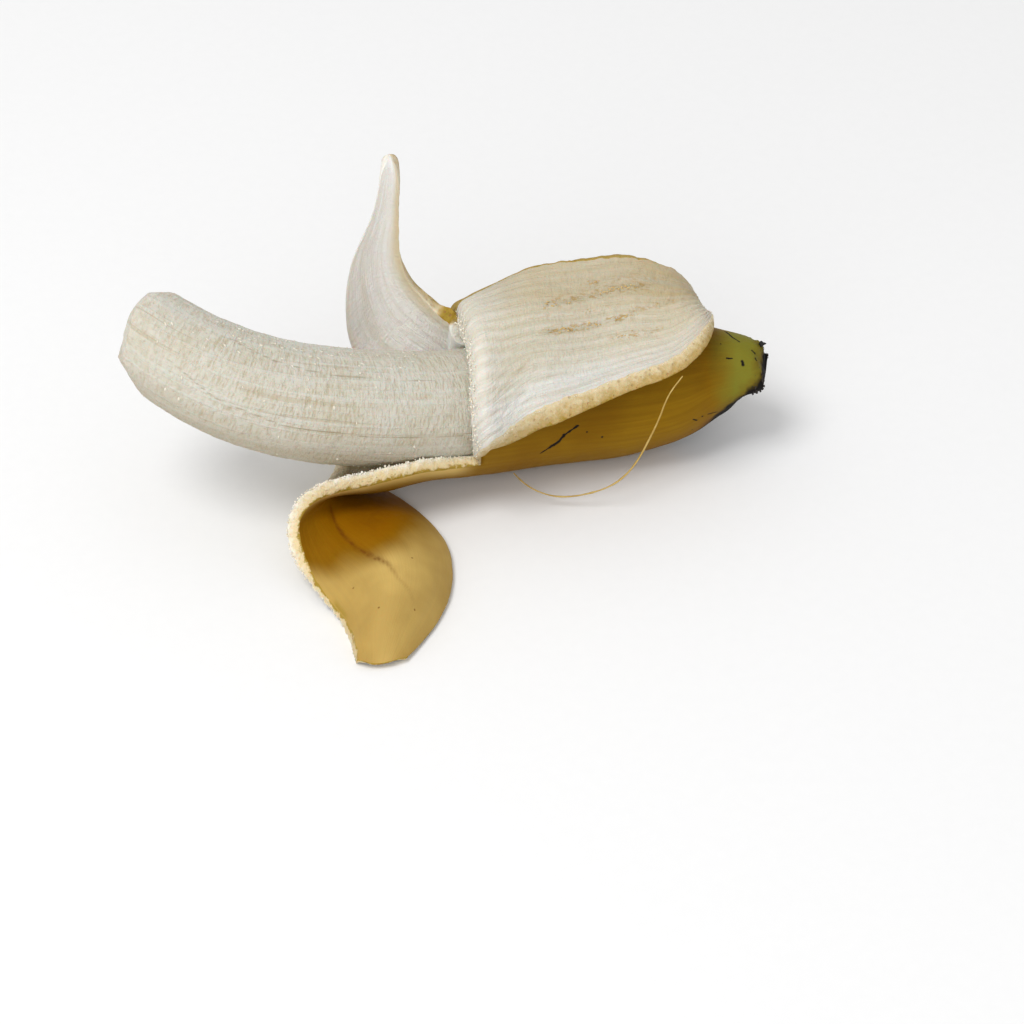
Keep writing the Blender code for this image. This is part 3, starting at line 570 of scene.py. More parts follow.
def buildFlesh():
    runs = np.concatenate([[0], np.cumsum(np.hypot(*np.diff(np.array(fleshShape["profile"], float), axis=0).T))])
    outline = smoothCurve(runs, fleshShape["profile"])
    where = np.linspace(0, runs[-1], fleshShape["rings"] + 2)[1:-1]
    x, radius = outline(where).T
    radius = np.maximum(radius, 0.2)
    angles = 360 / fleshShape["sides"] * np.arange(fleshShape["sides"])
    turn = np.radians(angles)
    lean = rise(x, fleshShape["leanStart"], fleshShape["leanLength"]) * radius / fleshShape["radius"]
    lean = lean * fleshShape["lean"]
    run = where[:, None] + 0 * angles
    uneven = fleshShape["uneven"] * roughNoise(run / 6, angles / 12, 41)
    uneven += fleshShape["striation"] * roughNoise(run / 0.9, angles / 9, 44, 2)
    inside = (rise(x, -36, -6) * ease(radius / 6))[:, None]
    corners = 1 + fleshShape["cornerHeight"] * np.cos(fleshShape["corners"] * (turn - 0.7))
    swollen = radius[:, None] * corners + uneven * inside
    rings = around(x[:, None] - lean[:, None] * np.sin(turn), swollen, angles)
    for spot, way in fleshShape["breaks"]:
        way = unit(np.array(way))
        beyond = (rings - spot) @ way
        rough = 0.25 * roughNoise(rings[..., 1] / 3, rings[..., 2] / 3, 61)
        rings = rings - way * np.maximum(beyond - rough, 0)[..., None]
    hairline = np.full(rings.shape[:2], 9.0)
    for line in fleshShape["hairlines"]:
        bent = angles[None, :] - follow(run, line) + 1.2 * softNoise(run / 4, 0.5, 77)
        past = np.maximum(np.maximum(line[0][0] - run, run - line[-1][0]), 0)
        hairline = np.minimum(hairline, np.hypot(np.radians((bent + 180) % 360 - 180) * 14, past))
    points = np.vstack([rings.reshape(-1, 3), rings[0].mean(0), rings[-1].mean(0)])
    index = np.arange(rings.shape[0] * rings.shape[1]).reshape(rings.shape[:2])
    lower, upper = index[:-1], index[1:]
    quads = np.stack([lower, upper, np.roll(upper, -1, 1), np.roll(lower, -1, 1)], -1).reshape(-1, 4)
    first, last = len(points) - 2, len(points) - 1
    faces = quads.tolist() + [(first, int(a), int(b)) for a, b in zip(index[0], np.roll(index[0], -1))]
    faces += [(last, int(b), int(a)) for a, b in zip(index[-1], np.roll(index[-1], -1))]
    flow = straightened(angles, where[:, None], fleshShape["radius"]).reshape(-1, 3)
    flow = np.vstack([flow, [[0, 0, 0], [0, 0, where[-1]]]])
    above, under = ease((np.sin(turn - 0.35) - 0.72) / 0.25), ease((-np.sin(turn + 0.3) - 0.2) / 0.3)
    flaky = 0.08 + 0.8 * above * rise(run, 22, 6) + 0.5 * under * rise(run, 55, 10)
    flaky = flaky * rise(run, 14, 4) * rise(run, 80, -6)
    broken = rise(run, 9, -5) + 0 * angles
    ends = {"hairline": (hairline, [9, 9]), "flaky": (flaky, [0, 0]), "broken": (broken, [1, 0])}
    attributes = {key: np.append(values.ravel(), both) for key, (values, both) in ends.items()}
    return addMesh("bananaFlesh", points, faces, dict(attributes, flow=flow))


flesh = buildFlesh()
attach(flesh, "root")
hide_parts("flesh")
print("flesh made:", len(flesh.data.polygons), "faces")


# small tools for shaders and node trees, which all add to the tree that is being built

def fill(socket, value):
    if isinstance(value, bpy.types.NodeSocket):
        tree.links.new(value, socket)
    else:
        socket.default_value = value


def add(kind, inputs=None, **settings):
    made = tree.nodes.new(kind)
    for key, value in settings.items():
        setattr(made, key, value)
    for key, value in (inputs or {}).items():
        fill(made.inputs[key], value)
    return made


def calc(operation, first, *others, clamp=False):
    for other in others:
        first = add("ShaderNodeMath", {0: first, 1: other}, operation=operation, use_clamp=clamp).outputs[0]
    return first


times, plus, minus = partial(calc, "MULTIPLY"), partial(calc, "ADD"), partial(calc, "SUBTRACT")
over, larger = partial(calc, "DIVIDE"), partial(calc, "MAXIMUM")


def vector(operation, first, second):
    made = add("ShaderNodeVectorMath", {0: first, "Scale" if operation == "SCALE" else 1: second}, operation=operation)
    return made.outputs["Value" if operation in ("DOT_PRODUCT", "DISTANCE") else "Vector"]


def noise(scale, detail, **more):
    return add("ShaderNodeTexNoise", {"Scale": scale, "Detail": detail, **more}).outputs


def ramp(value, low, high, toLow=0.0, toHigh=1.0):  # a value stretched from one range to another
    ends = {"From Min": low, "From Max": high, "To Min": toLow, "To Max": toHigh}
    return add("ShaderNodeMapRange", dict(ends, Value=value)).outputs[0]


def between(value, low, high):  # a share turned into a value from low to high
    return ramp(value, 0, 1, low, high)


def blend(share, first, second):
    first, second = ((*colour, 1) if isinstance(colour, tuple) else colour for colour in (first, second))
    return add("ShaderNodeMix", {0: share, 6: first, 7: second}, data_type="RGBA").outputs[2]


def paint(look, colour, *layers):  # lays the look's colours over one another, each through its own mask
    colour = look[colour] if isinstance(colour, str) else colour
    for share, name in layers:
        colour = blend(share, colour, look[name])
    return colour


def newGroup(name, inputs, shader=True):  # a node group with named inputs and one output
    made = bpy.data.node_groups.new(name, "ShaderNodeTree" if shader else "GeometryNodeTree")
    kinds = {tuple: "Vector", float: "Float", int: "Int", type(None): "Material"}
    sockets = [(key, "INPUT", kinds[type(value)], value) for key, value in inputs.items()]
    if not shader:
        sockets.insert(0, ("Geometry", "INPUT", "Geometry", None))
    sockets.append(("Value", "OUTPUT", "Float", None) if shader else ("Geometry", "OUTPUT", "Geometry", None))
    for key, way, kind, value in sockets:
        socket = made.interface.new_socket(key, in_out=way, socket_type="NodeSocket" + kind)
        if value is not None:
            socket.default_value = value
    return made, made.nodes.new("NodeGroupInput").outputs, made.nodes.new("NodeGroupOutput").inputs[0]


def use(group, **inputs):
    return add("ShaderNodeGroup", inputs, node_tree=bpy.data.node_groups[group]).outputs["Value"]


def cloud(scale, low=0.35, high=0.65, detail=3.0):  # patches that lie over the piece
    return use("mottle", Place=place, Scale=scale, Detail=detail, Low=low, High=high)


def streak(across, along, low=0.35, high=0.65):  # streaks that follow the fruit, in millimetres
    return use("streaks", Flow=flow, Across=across, Along=along, Low=low, High=high)


def newMaterial(name, specular=0.5, glow=None):  # glow is the subsurface weight and scale
    made = bpy.data.materials.new(name)
    made.use_nodes = True
    shader = made.node_tree.nodes["Principled BSDF"]
    shader.inputs["Specular IOR Level"].default_value = specular
    if glow:
        shader.inputs["Subsurface Weight"].default_value, shader.inputs["Subsurface Scale"].default_value = glow
    return made, made.node_tree, shader


def finishShader(colour, roughness, height, strength, distance):
    bump = add("ShaderNodeBump", {"Height": height, "Strength": strength, "Distance": distance}).outputs[0]
    for key, value in (("Base Color", colour), ("Roughness", roughness), ("Normal", bump)):
        fill(shader.inputs[key], value)


def attribute(name, output="Fac"):
    return add("ShaderNodeAttribute", attribute_name=name).outputs[output]


def objectPlace():
    return add("ShaderNodeTexCoord").outputs["Object"]


# effects that several materials use

tree, given, result = newGroup("mottle", {"Place": (0, 0, 0), "Scale": 100.0, "Detail": 3.0, "Low": 0.35, "High": 0.65})
patches = noise(given["Scale"], given["Detail"], Vector=given["Place"], Roughness=0.6)[0]
fill(result, ramp(patches, given["Low"], given["High"]))

tree, given, result = newGroup("streaks", {"Flow": (0, 0, 0), "Across": 1.0, "Along": 12.0, "Low": 0.35, "High": 0.65})
wide, long = over(1.0, given["Across"]), over(1.0, given["Along"])
stretched = vector("MULTIPLY", given["Flow"], add("ShaderNodeCombineXYZ", {"X": wide, "Y": wide, "Z": long}).outputs[0])
fill(result, ramp(noise(1.0, 3.0, Vector=stretched, Roughness=0.55)[0], given["Low"], given["High"]))

tree, given, result = newGroup("freckles", {"Place": (0, 0, 0), "Spacing": 0.005, "Size": 0.1, "Amount": 0.3})
cells = add("ShaderNodeTexVoronoi", {"Vector": given["Place"], "Scale": over(1.0, given["Spacing"])}).outputs
chance = add("ShaderNodeSeparateColor", {"Color": cells["Color"]}).outputs
radius = times(given["Size"], plus(chance[1], 0.35))
dot = ramp(cells["Distance"], radius, times(radius, 0.5))
fill(result, times(dot, calc("LESS_THAN", chance[0], given["Amount"])))

tree, given, result = newGroup("scar", {"Place": (0, 0, 0), "Start": (0, 0, 0), "End": (0, 0, 0), "Width": 0.0004,
                                        "Ragged": 0.0003})  # a mark from Start to End
span = vector("SUBTRACT", given["End"], given["Start"])
reached = vector("SUBTRACT", given["Place"], given["Start"])
share = over(vector("DOT_PRODUCT", reached, span), larger(vector("DOT_PRODUCT", span, span), 1e-9), clamp=True)
away = vector("DISTANCE", reached, vector("SCALE", span, share))
away = plus(away, times(minus(noise(1300.0, 2.0, Vector=given["Place"])[0], 0.5), given["Ragged"]))
fill(result, ramp(away, given["Width"], times(given["Width"], 0.45)))

tree, given, result = newGroup("zone", {"Place": (0, 0, 0), "Way": (1, 0, 0), "From": 0.0, "To": 0.01, "Ragged": 0.002,
                                        "Grain": 300.0})  # rises from From to To along Way
uneven = times(minus(noise(given["Grain"], 3.0, Vector=given["Place"])[0], 0.5), given["Ragged"])
fill(result, ramp(plus(vector("DOT_PRODUCT", given["Place"], given["Way"]), uneven), given["From"], given["To"]))
print("shader groups made")


# the skin

skinLook = {
    "yellow": (0.21, 0.098, 0.001), "light": (0.265, 0.138, 0.003), "streak": (0.155, 0.068, 0.0005),
    # the hollow colour is painted shade for the curled strip's shaded hollow, and the pale colour is painted light for
    # its lit side
    "hollow": (0.27, 0.105, 0.0), "pale": (0.80, 0.57, 0.19), "olive": (0.26, 0.17, 0.01),
    "green": (0.18, 0.18, 0.020), "brown": (0.13, 0.035, 0.002), "black": (0.010, 0.008, 0.007),
    "greenEnd": ((1, 0, 0), 0.0645, 0.0705),  # way, from, to
    "blackEnds": [((1, -0.1, -0.05), 0.0738, 0.0748), ((1, 0, -1), 0.0516, 0.0536)],
    # scratches and spots in millimetres, each moved onto the skin: start, end (none on a spot), half width
    "scars": [((21.8, 5.1, 13.9), (24.1, 5.5, 15.5), 0.3), ((24.1, 5.5, 15.5), (26.2, 6.0, 16.7), 0.6),
              ((26.2, 6.0, 16.7), (27.6, 6.5, 18.6), 0.5), ((27.6, 6.5, 18.6), (31.0, 7.6, 20.6), 0.38),
              ((33.3, 7.7, 18.5), None, 0.35), ((37.1, 8.4, 16.3), None, 0.35),
              ((68.6, 35.1, 29.3), (70.1, 31.6, 30.1), 0.32), ((70.1, 31.6, 30.1), (71.9, 29.7, 30.0), 0.26),
              ((68.5, 24.7, 28.6), (69.8, 24.7, 28.5), 0.26), ((72.4, 24.2, 28.0), (72.6, 23.7, 27.4), 0.5),
              ((67.1, 28.3, 30.4), None, 0.22), ((60.2, 15.3, 16.5), (61.1, 16.1, 15.6), 0.26),
              ((62.4, 16.8, 16.3), (62.6, 17.0, 16.2), 0.28), ((64.0, 18.0, 16.1), (66.5, 19.7, 15.4), 0.2),
              ((75.0, 27.6, 28.6), (75.2, 27.3, 28.0), 0.34), ((75.6, 25.4, 27.2), (75.3, 25.8, 27.8), 0.28)],
    # small brown dots on the curled strip's skin
    "dots": [(-9.4, -30.9, 10.5), (-7.9, -46.6, 8.1), (-23.4, -38.4, 7.5), (-16.8, -47.8, 9.5)],
    "dotSize": 0.35,
}


def onSkin(spot, grid):  # a mark moved along the skin's own direction until it lies on the skin
    grid = np.ravel(grid)
    spot = np.array(spot) - originShift
    i = grid[np.argmin(((skinPoints[grid] - spot) ** 2).sum(1))]
    way = unit(skinPoints[i] - sheet["points"][i])
    return tuple((spot - (spot - skinPoints[i]) @ way * way + originShift) * mm)


def mark(grid, start, end, width, ragged):
    start, end = (onSkin(spot, grid) for spot in (start, end or start))
    return use("scar", Place=place, Start=start, End=end, Width=width * mm, Ragged=ragged * mm)


def endZone(way, start, end, ragged, grain):
    return use("zone", Place=place, Way=way, From=start, To=end, Ragged=ragged, Grain=grain)


skinFinish, tree, shader = newMaterial("bananaSkin", 0.07, (0.06, 0.002))
place, flow = objectPlace(), attribute("flow", "Vector")
broad, fine, lines = cloud(38.0), cloud(700.0, 0.3, 0.7, 4.0), streak(0.8, 22.0)
colour = paint(skinLook, "yellow", (broad, "light"), (times(lines, 0.35), "streak"),
    # painted shade: the curled strip's hollow is darkened towards the dark orange hollow colour
    (times(attribute("hollow"), between(cloud(90.0, 0.3, 0.7), 0.75, 1)), "hollow"),
    # painted light: the pale colour lightens the lit side of the curled strip
    (times(attribute("pale"), between(broad, 0.6, 0.9)), "pale"), (times(attribute("olive"), 0.7), "olive"),
    (times(endZone(*skinLook["greenEnd"], 0.008, 90.0), 0.85), "green"))
marks = times(use("freckles", Place=place, Spacing=0.006, Size=0.055, Amount=0.22), 0.55)
for start, end, width in skinLook["scars"]:
    marks = larger(marks, mark(sheet["cup"], start, end, width, width * 1.3))
# the real bruise along the crease and the brown dots, with painted shade over the curled strip's upper hollow
bruiseAndShadeMask = times(attribute("bruise"), cloud(420.0, 0.15, 0.6), clamp=True)
for spot in skinLook["dots"]:
    bruiseAndShadeMask = larger(bruiseAndShadeMask, mark(sheet["grids"]["curled"], spot, None, skinLook["dotSize"], 0.3))
black = fringe = 0.0
for way, start, end in skinLook["blackEnds"]:
    fringe = larger(fringe, endZone(way, start - 0.003, end, 0.005, 420.0))
    black = larger(black, endZone(way, start, end, 0.0045, 330.0))
black = larger(black, marks)
colour = paint(skinLook, colour, (times(bruiseAndShadeMask, 0.7), "brown"), (times(fringe, 0.5), "brown"), (black, "black"))
height = minus(plus(times(fine, 0.35), times(lines, 0.4)), times(marks, 1.5))
finishShader(colour, plus(between(fine, 0.5, 0.6), times(black, 0.15)), height, 0.5, 0.00012)

# the inside of the peel

insideLook = {"white": (0.92, 0.915, 0.885), "cream": (0.655, 0.60, 0.455), "valley": (0.57, 0.485, 0.315),
              "blush": (0.68, 0.54, 0.30), "olive": (0.44, 0.32, 0.09), "speck": (0.54, 0.34, 0.10),
              # the near-black colour that the painted shade on the folded strip mixes in
              "dim": (0.03, 0.03, 0.025)}
insideFinish, tree, shader = newMaterial("peelInside", 0.35, (0.2, 0.003))
place, flow = objectPlace(), attribute("flow", "Vector")
fibres, bands, crosses = streak(0.55, 9.0, 0.3, 0.7), streak(2.2, 30.0), streak(2.0, 0.7, 0.35, 0.7)
woolly = cloud(520.0, 0.3, 0.7)
white = times(attribute("white"), between(bands, 0.75, 1.1), clamp=True)
low = times(minus(1.0, attribute("ridge"), clamp=True), between(fibres, 0.25, 0.9))
flecks = times(attribute("specks"), streak(0.7, 1.8, 0.52, 0.62), clamp=True)
colour = paint(insideLook, "cream", (white, "white"), (times(low, minus(1.15, white)), "valley"),
    (times(attribute("blush"), between(bands, 0.35, 0.8)), "blush"), (times(attribute("olive"), 0.85), "olive"),
    (times(flecks, 0.85), "speck"), (attribute("dim"), "dim"))
height = minus(plus(times(fibres, 0.8), times(crosses, 0.5), times(woolly, 0.5)), times(flecks, 0.8))
finishShader(colour, between(woolly, 0.5, 0.65), height, 0.5, 0.0005)

# the torn edge, from the skin's line to the white of the inside

tornLook = {"skin": (0.34, 0.22, 0.02), "ochre": (0.46, 0.32, 0.11), "cream": (0.76, 0.62, 0.36),
            "white": (0.86, 0.82, 0.72), "tan": (0.66, 0.54, 0.32), "speck": (0.30, 0.13, 0.05),
            "bare": (0.80, 0.79, 0.74)}
tornFinish, tree, shader = newMaterial("tornEdge", 0.3, (0.15, 0.003))
place, flow = objectPlace(), attribute("flow", "Vector")
woolly = cloud(650.0, 0.3, 0.7)
pores = use("freckles", Place=place, Spacing=0.0011, Size=0.3, Amount=0.4)
layer = plus(attribute("layer"), times(minus(woolly, 0.5), 0.4))
tone = attribute("tone")
bare = times(attribute("white"), minus(1.0, tone, clamp=True), clamp=True)
rough = times(pores, plus(times(attribute("specks"), 0.8), times(tone, 0.3)), clamp=True)
outer, inner = paint(tornLook, "cream", (tone, "ochre")), paint(tornLook, "white", (tone, "tan"))
colour = paint(tornLook, blend(ramp(layer, 0.4, 0.85), outer, inner), (ramp(layer, 0.28, 0.12), "skin"),
    (ramp(tone, 1.0, 2.0), "skin"), (times(bare, between(woolly, 0.6, 1)), "bare"), (rough, "speck"))
finishShader(colour, between(woolly, 0.55, 0.75), minus(woolly, times(pores, 0.6)), 0.7, 0.0004)
for one in (skinFinish, insideFinish, tornFinish):
    peel.data.materials.append(one)

# the flesh's surface

fleshLook = {"pale": (0.62, 0.60, 0.53), "cream": (0.57, 0.535, 0.43), "ochre": (0.44, 0.365, 0.235),
             # the underside colour is painted shade for the flesh's lower side
             "undersideShade": (0.33, 0.27, 0.16), "broken": (0.64, 0.63, 0.56), "seam": (0.36, 0.29, 0.18)}
fleshFinish, tree, shader = newMaterial("bananaFlesh", 0.4, (0.25, 0.004))
place, flow = objectPlace(), attribute("flow", "Vector")
crosses, shorts = streak(2.6, 0.5, 0.44, 0.72), streak(1.2, 0.8, 0.5, 0.72)
bands, grooves = streak(1.5, 70.0, 0.5, 0.62), streak(1.9, 60.0, 0.6, 0.68)
grain = cloud(900.0, 0.3, 0.7, 2.0)
strong = between(cloud(32.0, 0.4, 0.6), 0.4, 0.95)
broken = attribute("broken")
unbroken = minus(1.0, broken)
# painted shade: the flesh's lower side is darkened towards the underside colour, up to 0.7
shadeBelow = ramp(add("ShaderNodeSeparateXYZ", {0: flow}).outputs["Y"], 3.0, -11.0, 0.0, 0.7)
seam = times(ramp(attribute("hairline"), 0.3, 0.08), streak(6.0, 5.0, 0.15, 0.45))
colour = paint(fleshLook, "pale", (cloud(70.0, 0.3, 0.7), "cream"),
    (times(crosses, strong, minus(1.0, times(bands, 0.6)), unbroken), "ochre"),
    (times(grooves, unbroken, 0.45), "ochre"), (times(bands, unbroken, 0.4), "broken"),
    (times(shorts, unbroken, 0.3), "ochre"), (shadeBelow, "undersideShade"), (times(broken, 0.7), "broken"),
    (times(seam, 0.6), "seam"))
height = times(minus(bands, grooves, plus(crosses, shorts)), 0.7, unbroken)
finishShader(colour, between(grain, 0.42, 0.58), minus(plus(height, times(grain, 0.4)), seam), 0.6, 0.0003)
flesh.data.materials.append(fleshFinish)

# crumbs of torn peel, dried flecks, the string's fibre and the blossom end's crust: two colours, roughness, grain

plainLooks = {
    "pithCrumb": ((0.84, 0.81, 0.73), (0.76, 0.68, 0.52), 0.6, 900.0),
    "fleshCrumb": ((0.82, 0.78, 0.68), (0.72, 0.65, 0.50), 0.55, 700.0),
    "driedFleck": ((0.57, 0.36, 0.11), (0.68, 0.51, 0.24), 0.65, 600.0),
    "stringFibre": ((0.42, 0.26, 0.05), (0.55, 0.39, 0.12), 0.5, 800.0),
    "endCrust": ((0.010, 0.008, 0.007), (0.032, 0.022, 0.016), 0.7, 500.0),
}
finishes = {}
for name, (first, second, rough, scale) in plainLooks.items():
    finishes[name], tree, shader = newMaterial(name, 0.35)
    place = objectPlace()
    grain = cloud(scale * 2.5, 0.3, 0.7)
    colour = blend(cloud(scale * 0.4), first, second)
    finishShader(colour, between(grain, rough - 0.07, rough + 0.1), grain, 0.5, 0.00015)
print("materials made")


# node trees for what is scattered along an edge or runs as a thread

def randomVector(low, high, seed):
    return add("FunctionNodeRandomValue", {0: low, 1: high, "Seed": seed}, data_type="FLOAT_VECTOR").outputs[0]


def amountHere():
    return add("GeometryNodeInputNamedAttribute", {"Name": "amount"}, data_type="FLOAT").outputs[0]


def asCurve():
    return add("GeometryNodeMeshToCurve", {0: given["Geometry"]}).outputs[0]


def scatter(dots, points, size, fineness, **more):  # an uneven ball at each point
    ball = add("GeometryNodeMeshIcoSphere", {"Radius": 1.0, "Subdivisions": fineness}).outputs[0]
    return add("GeometryNodeInstanceOnPoints", {"Points": points, "Instance": ball, "Rotation": dots["Rotation"],
        "Scale": size, **more}).outputs[0]


def crumble(shape, grain, rough):  # makes the shapes uneven and real, keeps them above the floor and finishes them
    solid = add("GeometryNodeRealizeInstances", {0: shape}).outputs[0]
    shift = vector("SCALE", vector("SUBTRACT", noise(grain, 1.0)["Color"], (0.5, 0.5, 0.5)), rough)
    solid = add("GeometryNodeSetPosition", {"Geometry": solid, "Offset": shift}).outputs[0]
    spot = add("ShaderNodeSeparateXYZ", {0: add("GeometryNodeInputPosition").outputs[0]}).outputs
    floored = add("ShaderNodeCombineXYZ", {0: spot[0], 1: spot[1], 2: larger(spot[2], 0.0)}).outputs[0]
    solid = add("GeometryNodeSetPosition", {"Geometry": solid, "Position": floored}).outputs[0]
    smooth = add("GeometryNodeSetShadeSmooth", {0: solid}).outputs[0]
    fill(result, add("GeometryNodeSetMaterial", {"Geometry": smooth, "Material": given["Finish"]}).outputs[0])


tree, given, result = newGroup("crumbRow", {"Spacing": 0.0006, "Size": 0.0004, "Spread": 0.0003, "Long": 1.0,
    "Fineness": 1, "Seed": 1, "Finish": None}, shader=False)
dots = add("GeometryNodeCurveToPoints", {"Curve": asCurve(), "Length": given["Spacing"]}, mode="LENGTH").outputs
nudge = vector("SCALE", randomVector((-1, -1, -1), (1, 1, 1), given["Seed"]), given["Spread"])
nudged = add("GeometryNodeSetPosition", {"Geometry": dots["Points"], "Offset": nudge}).outputs[0]
amount = times(amountHere(), given["Size"])
longWay = add("ShaderNodeCombineXYZ", {"X": 1.0, "Y": 1.0, "Z": given["Long"]}).outputs[0]
uneven = randomVector((0.35, 0.35, 0.35), (1.25, 1.25, 1.25), plus(given["Seed"], 7.0))
crumble(scatter(dots, nudged, vector("SCALE", vector("MULTIPLY", uneven, longWay), amount), given["Fineness"],
    Selection=calc("GREATER_THAN", amount, 0.00003)), 1100.0, given["Size"])

tree, given, result = newGroup("thread", {"Step": 0.0006, "Radius": 0.0003, "Uneven": 0.3, "Sides": 8,
    "Finish": None}, shader=False)
line = add("GeometryNodeResampleCurve", {"Curve": asCurve(), "Length": given["Step"]}, mode="LENGTH").outputs[0]
swell = plus(1.0, times(minus(noise(420.0, 2.0)[0], 0.5), times(given["Uneven"], 3.0)))
thick = times(swell, times(amountHere(), given["Radius"]))
line = add("GeometryNodeSetCurveRadius", {"Curve": line, "Radius": thick}).outputs[0]
ring = add("GeometryNodeCurvePrimitiveCircle", {"Resolution": given["Sides"], "Radius": 1.0}).outputs[0]
rod = add("GeometryNodeCurveToMesh", {"Curve": line, "Profile Curve": ring, "Fill Caps": True})
for socket in rod.inputs:
    if socket.name == "Scale":
        fill(socket, add("GeometryNodeInputRadius").outputs[0])
crumble(rod.outputs[0], 700.0, times(given["Radius"], given["Uneven"]))

tree, given, result = newGroup("flakes", {"Density": 60000.0, "Size": 0.0006, "Seed": 3, "Finish": None}, shader=False)
dots = add("GeometryNodeDistributePointsOnFaces", {"Mesh": given["Geometry"], "Seed": given["Seed"],
    "Density": times(given["Density"], amountHere())}).outputs
size = vector("SCALE", randomVector((0.3, 0.5, 0.15), (0.8, 1.6, 0.4), given["Seed"]), given["Size"])
crumble(scatter(dots, dots["Points"], size, 1), 900.0, given["Size"])


def grow(name, group, slot, lines=None, surface=None, **values):  # keeps what a tree makes as a plain mesh
    if lines is not None:
        points = np.concatenate([path for path, amount in lines])
        shares = np.concatenate([np.broadcast_to(amount, len(path)) for path, amount in lines])
        ends = np.cumsum([len(path) for path, amount in lines])
        pairs = [(i, i + 1) for i in range(len(points) - 1) if i + 1 not in ends]
        source = bpy.data.meshes.new(name + "Path")
        source.from_pydata((points + originShift) * mm, pairs, [])
    else:
        source, shares = surface[0].copy(), surface[1]
    source.attributes.new("amount", "FLOAT", "POINT").data.foreach_set("value", np.asarray(shares, np.float32))
    carrier = addObject(name + "Path", source)
    modifier = carrier.modifiers.new("nodes", "NODES")
    modifier.node_group = bpy.data.node_groups[group]
    for socket in modifier.node_group.interface.items_tree:
        if socket.item_type == "SOCKET" and socket.in_out == "INPUT" and socket.name in values:
            modifier[socket.identifier] = values[socket.name]
    made = bpy.data.meshes.new_from_object(carrier.evaluated_get(bpy.context.evaluated_depsgraph_get()))
    made.name = name
    bpy.data.objects.remove(carrier)
    piece = addObject(name, made)
    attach(piece, "root")
    print(name, "made:", len(made.polygons), "faces")
    return piece


# the loose string of fibre that hangs beside the unopened part

stringShape = {
    "route": [(19.9, -17.4, 35), (16.3, -20.5, 31), (14.4, -22.5, 26.5), (11.9, -24, 20.5), (8.3, -25, 13),
              (3.5, -25.5, 7.5), (-3.5, -25.8, 4.4), (-10, -25.6, 3.4), (-15.5, -25, 4.6), (-19.4, -23.4, 6.4),
              (-21.6, -21.4, 7.6)],
    "points": 120, "Radius": 0.00024, "Uneven": 0.35, "ends": 0.55,  # how thick its ends are, as a share
}
route = np.array(stringShape["route"], float)
routeRun = runLengths(route)
stringPath = smoothCurve(routeRun, route)(np.linspace(0, routeRun[-1], stringShape["points"]))
taper = stringShape["ends"] + (1 - stringShape["ends"]) * np.sin(np.linspace(0.25, math.pi - 0.3, len(stringPath)))
string = grow("looseString", "thread", "strand_fibre", [(stringPath, taper)], Radius=stringShape["Radius"],
    Uneven=stringShape["Uneven"], Finish=finishes["stringFibre"])
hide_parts("phloem_strand")

# crumbs along the torn edges, on the fold's crest and in the speck rows

crumbLook = {
    "edge": {"Spacing": 0.0005, "Size": 0.00032, "Spread": 0.00026, "Seed": 11},
    "fold": {"Spacing": 0.0006, "Size": 0.00036, "Spread": 0.0006, "Seed": 21},
    "fleck": {"Spacing": 0.0006, "Size": 0.00034, "Spread": 0.0005, "Seed": 31, "Long": 1.8},
    "flesh": {"Density": 150000.0, "Size": 0.00048, "Seed": 5},
    "crust": {"Spacing": 0.0004, "Size": 0.00028, "Spread": 0.00022, "Seed": 41, "Fineness": 2},
}
edgeLines = [(rimPoints[k], crumbShare * share) for k, share in ((6, 1.0), (4, 0.45), (2, 0.15))]
grow("edgeCrumbs", "crumbRow", "banana_skin", edgeLines, Finish=finishes["pithCrumb"], **crumbLook["edge"])
foldGrid = sheet["grids"]["folded"]
foldLines = [(pithPoints[foldGrid[row, 2:78]], share) for row, share in ((9, 0.5), (11, 1.0), (13, 0.9), (15, 0.5))]
grow("foldCrumbs", "crumbRow", "banana_skin", foldLines, Finish=finishes["pithCrumb"], **crumbLook["fold"])
fleckLines = []
grid = foldGrid[peelShape["foldRows"] + 1:-2]
near, run = sheet["place"][grid][..., 0], sheet["place"][grid][..., 3].mean(1)
for row, wide, strength in speckRows:
    keep = (run > row[0][0]) & (run < row[-1][0])
    wanted = near[keep][:, -1] * follow(run[keep], row)
    column = abs(near[keep] - wanted[:, None]).argmin(1)
    line = pithPoints[grid[keep][np.arange(keep.sum()), column]]
    share = strength * (0.5 + 0.5 * softNoise(run[keep] / 2.4, wide * 7, 88)) ** 1.3
    fleckLines += [(line + np.array([0, shift * wide, 0.12]), share) for shift in (-0.35, 0.25)]
grow("driedFlecks", "crumbRow", "banana_skin", fleckLines, Finish=finishes["driedFleck"], **crumbLook["fleck"])

# flakes on the flesh

flaky = np.zeros(len(flesh.data.vertices), np.float32)
flesh.data.attributes["flaky"].data.foreach_get("value", flaky)
grow("fleshFlakes", "flakes", "banana_flesh", surface=(flesh.data, flaky), Finish=finishes["fleshCrumb"],
    **crumbLook["flesh"])

# the black crust around the blossom end: rows as row, size and how low only, the knob's columns, size and lift

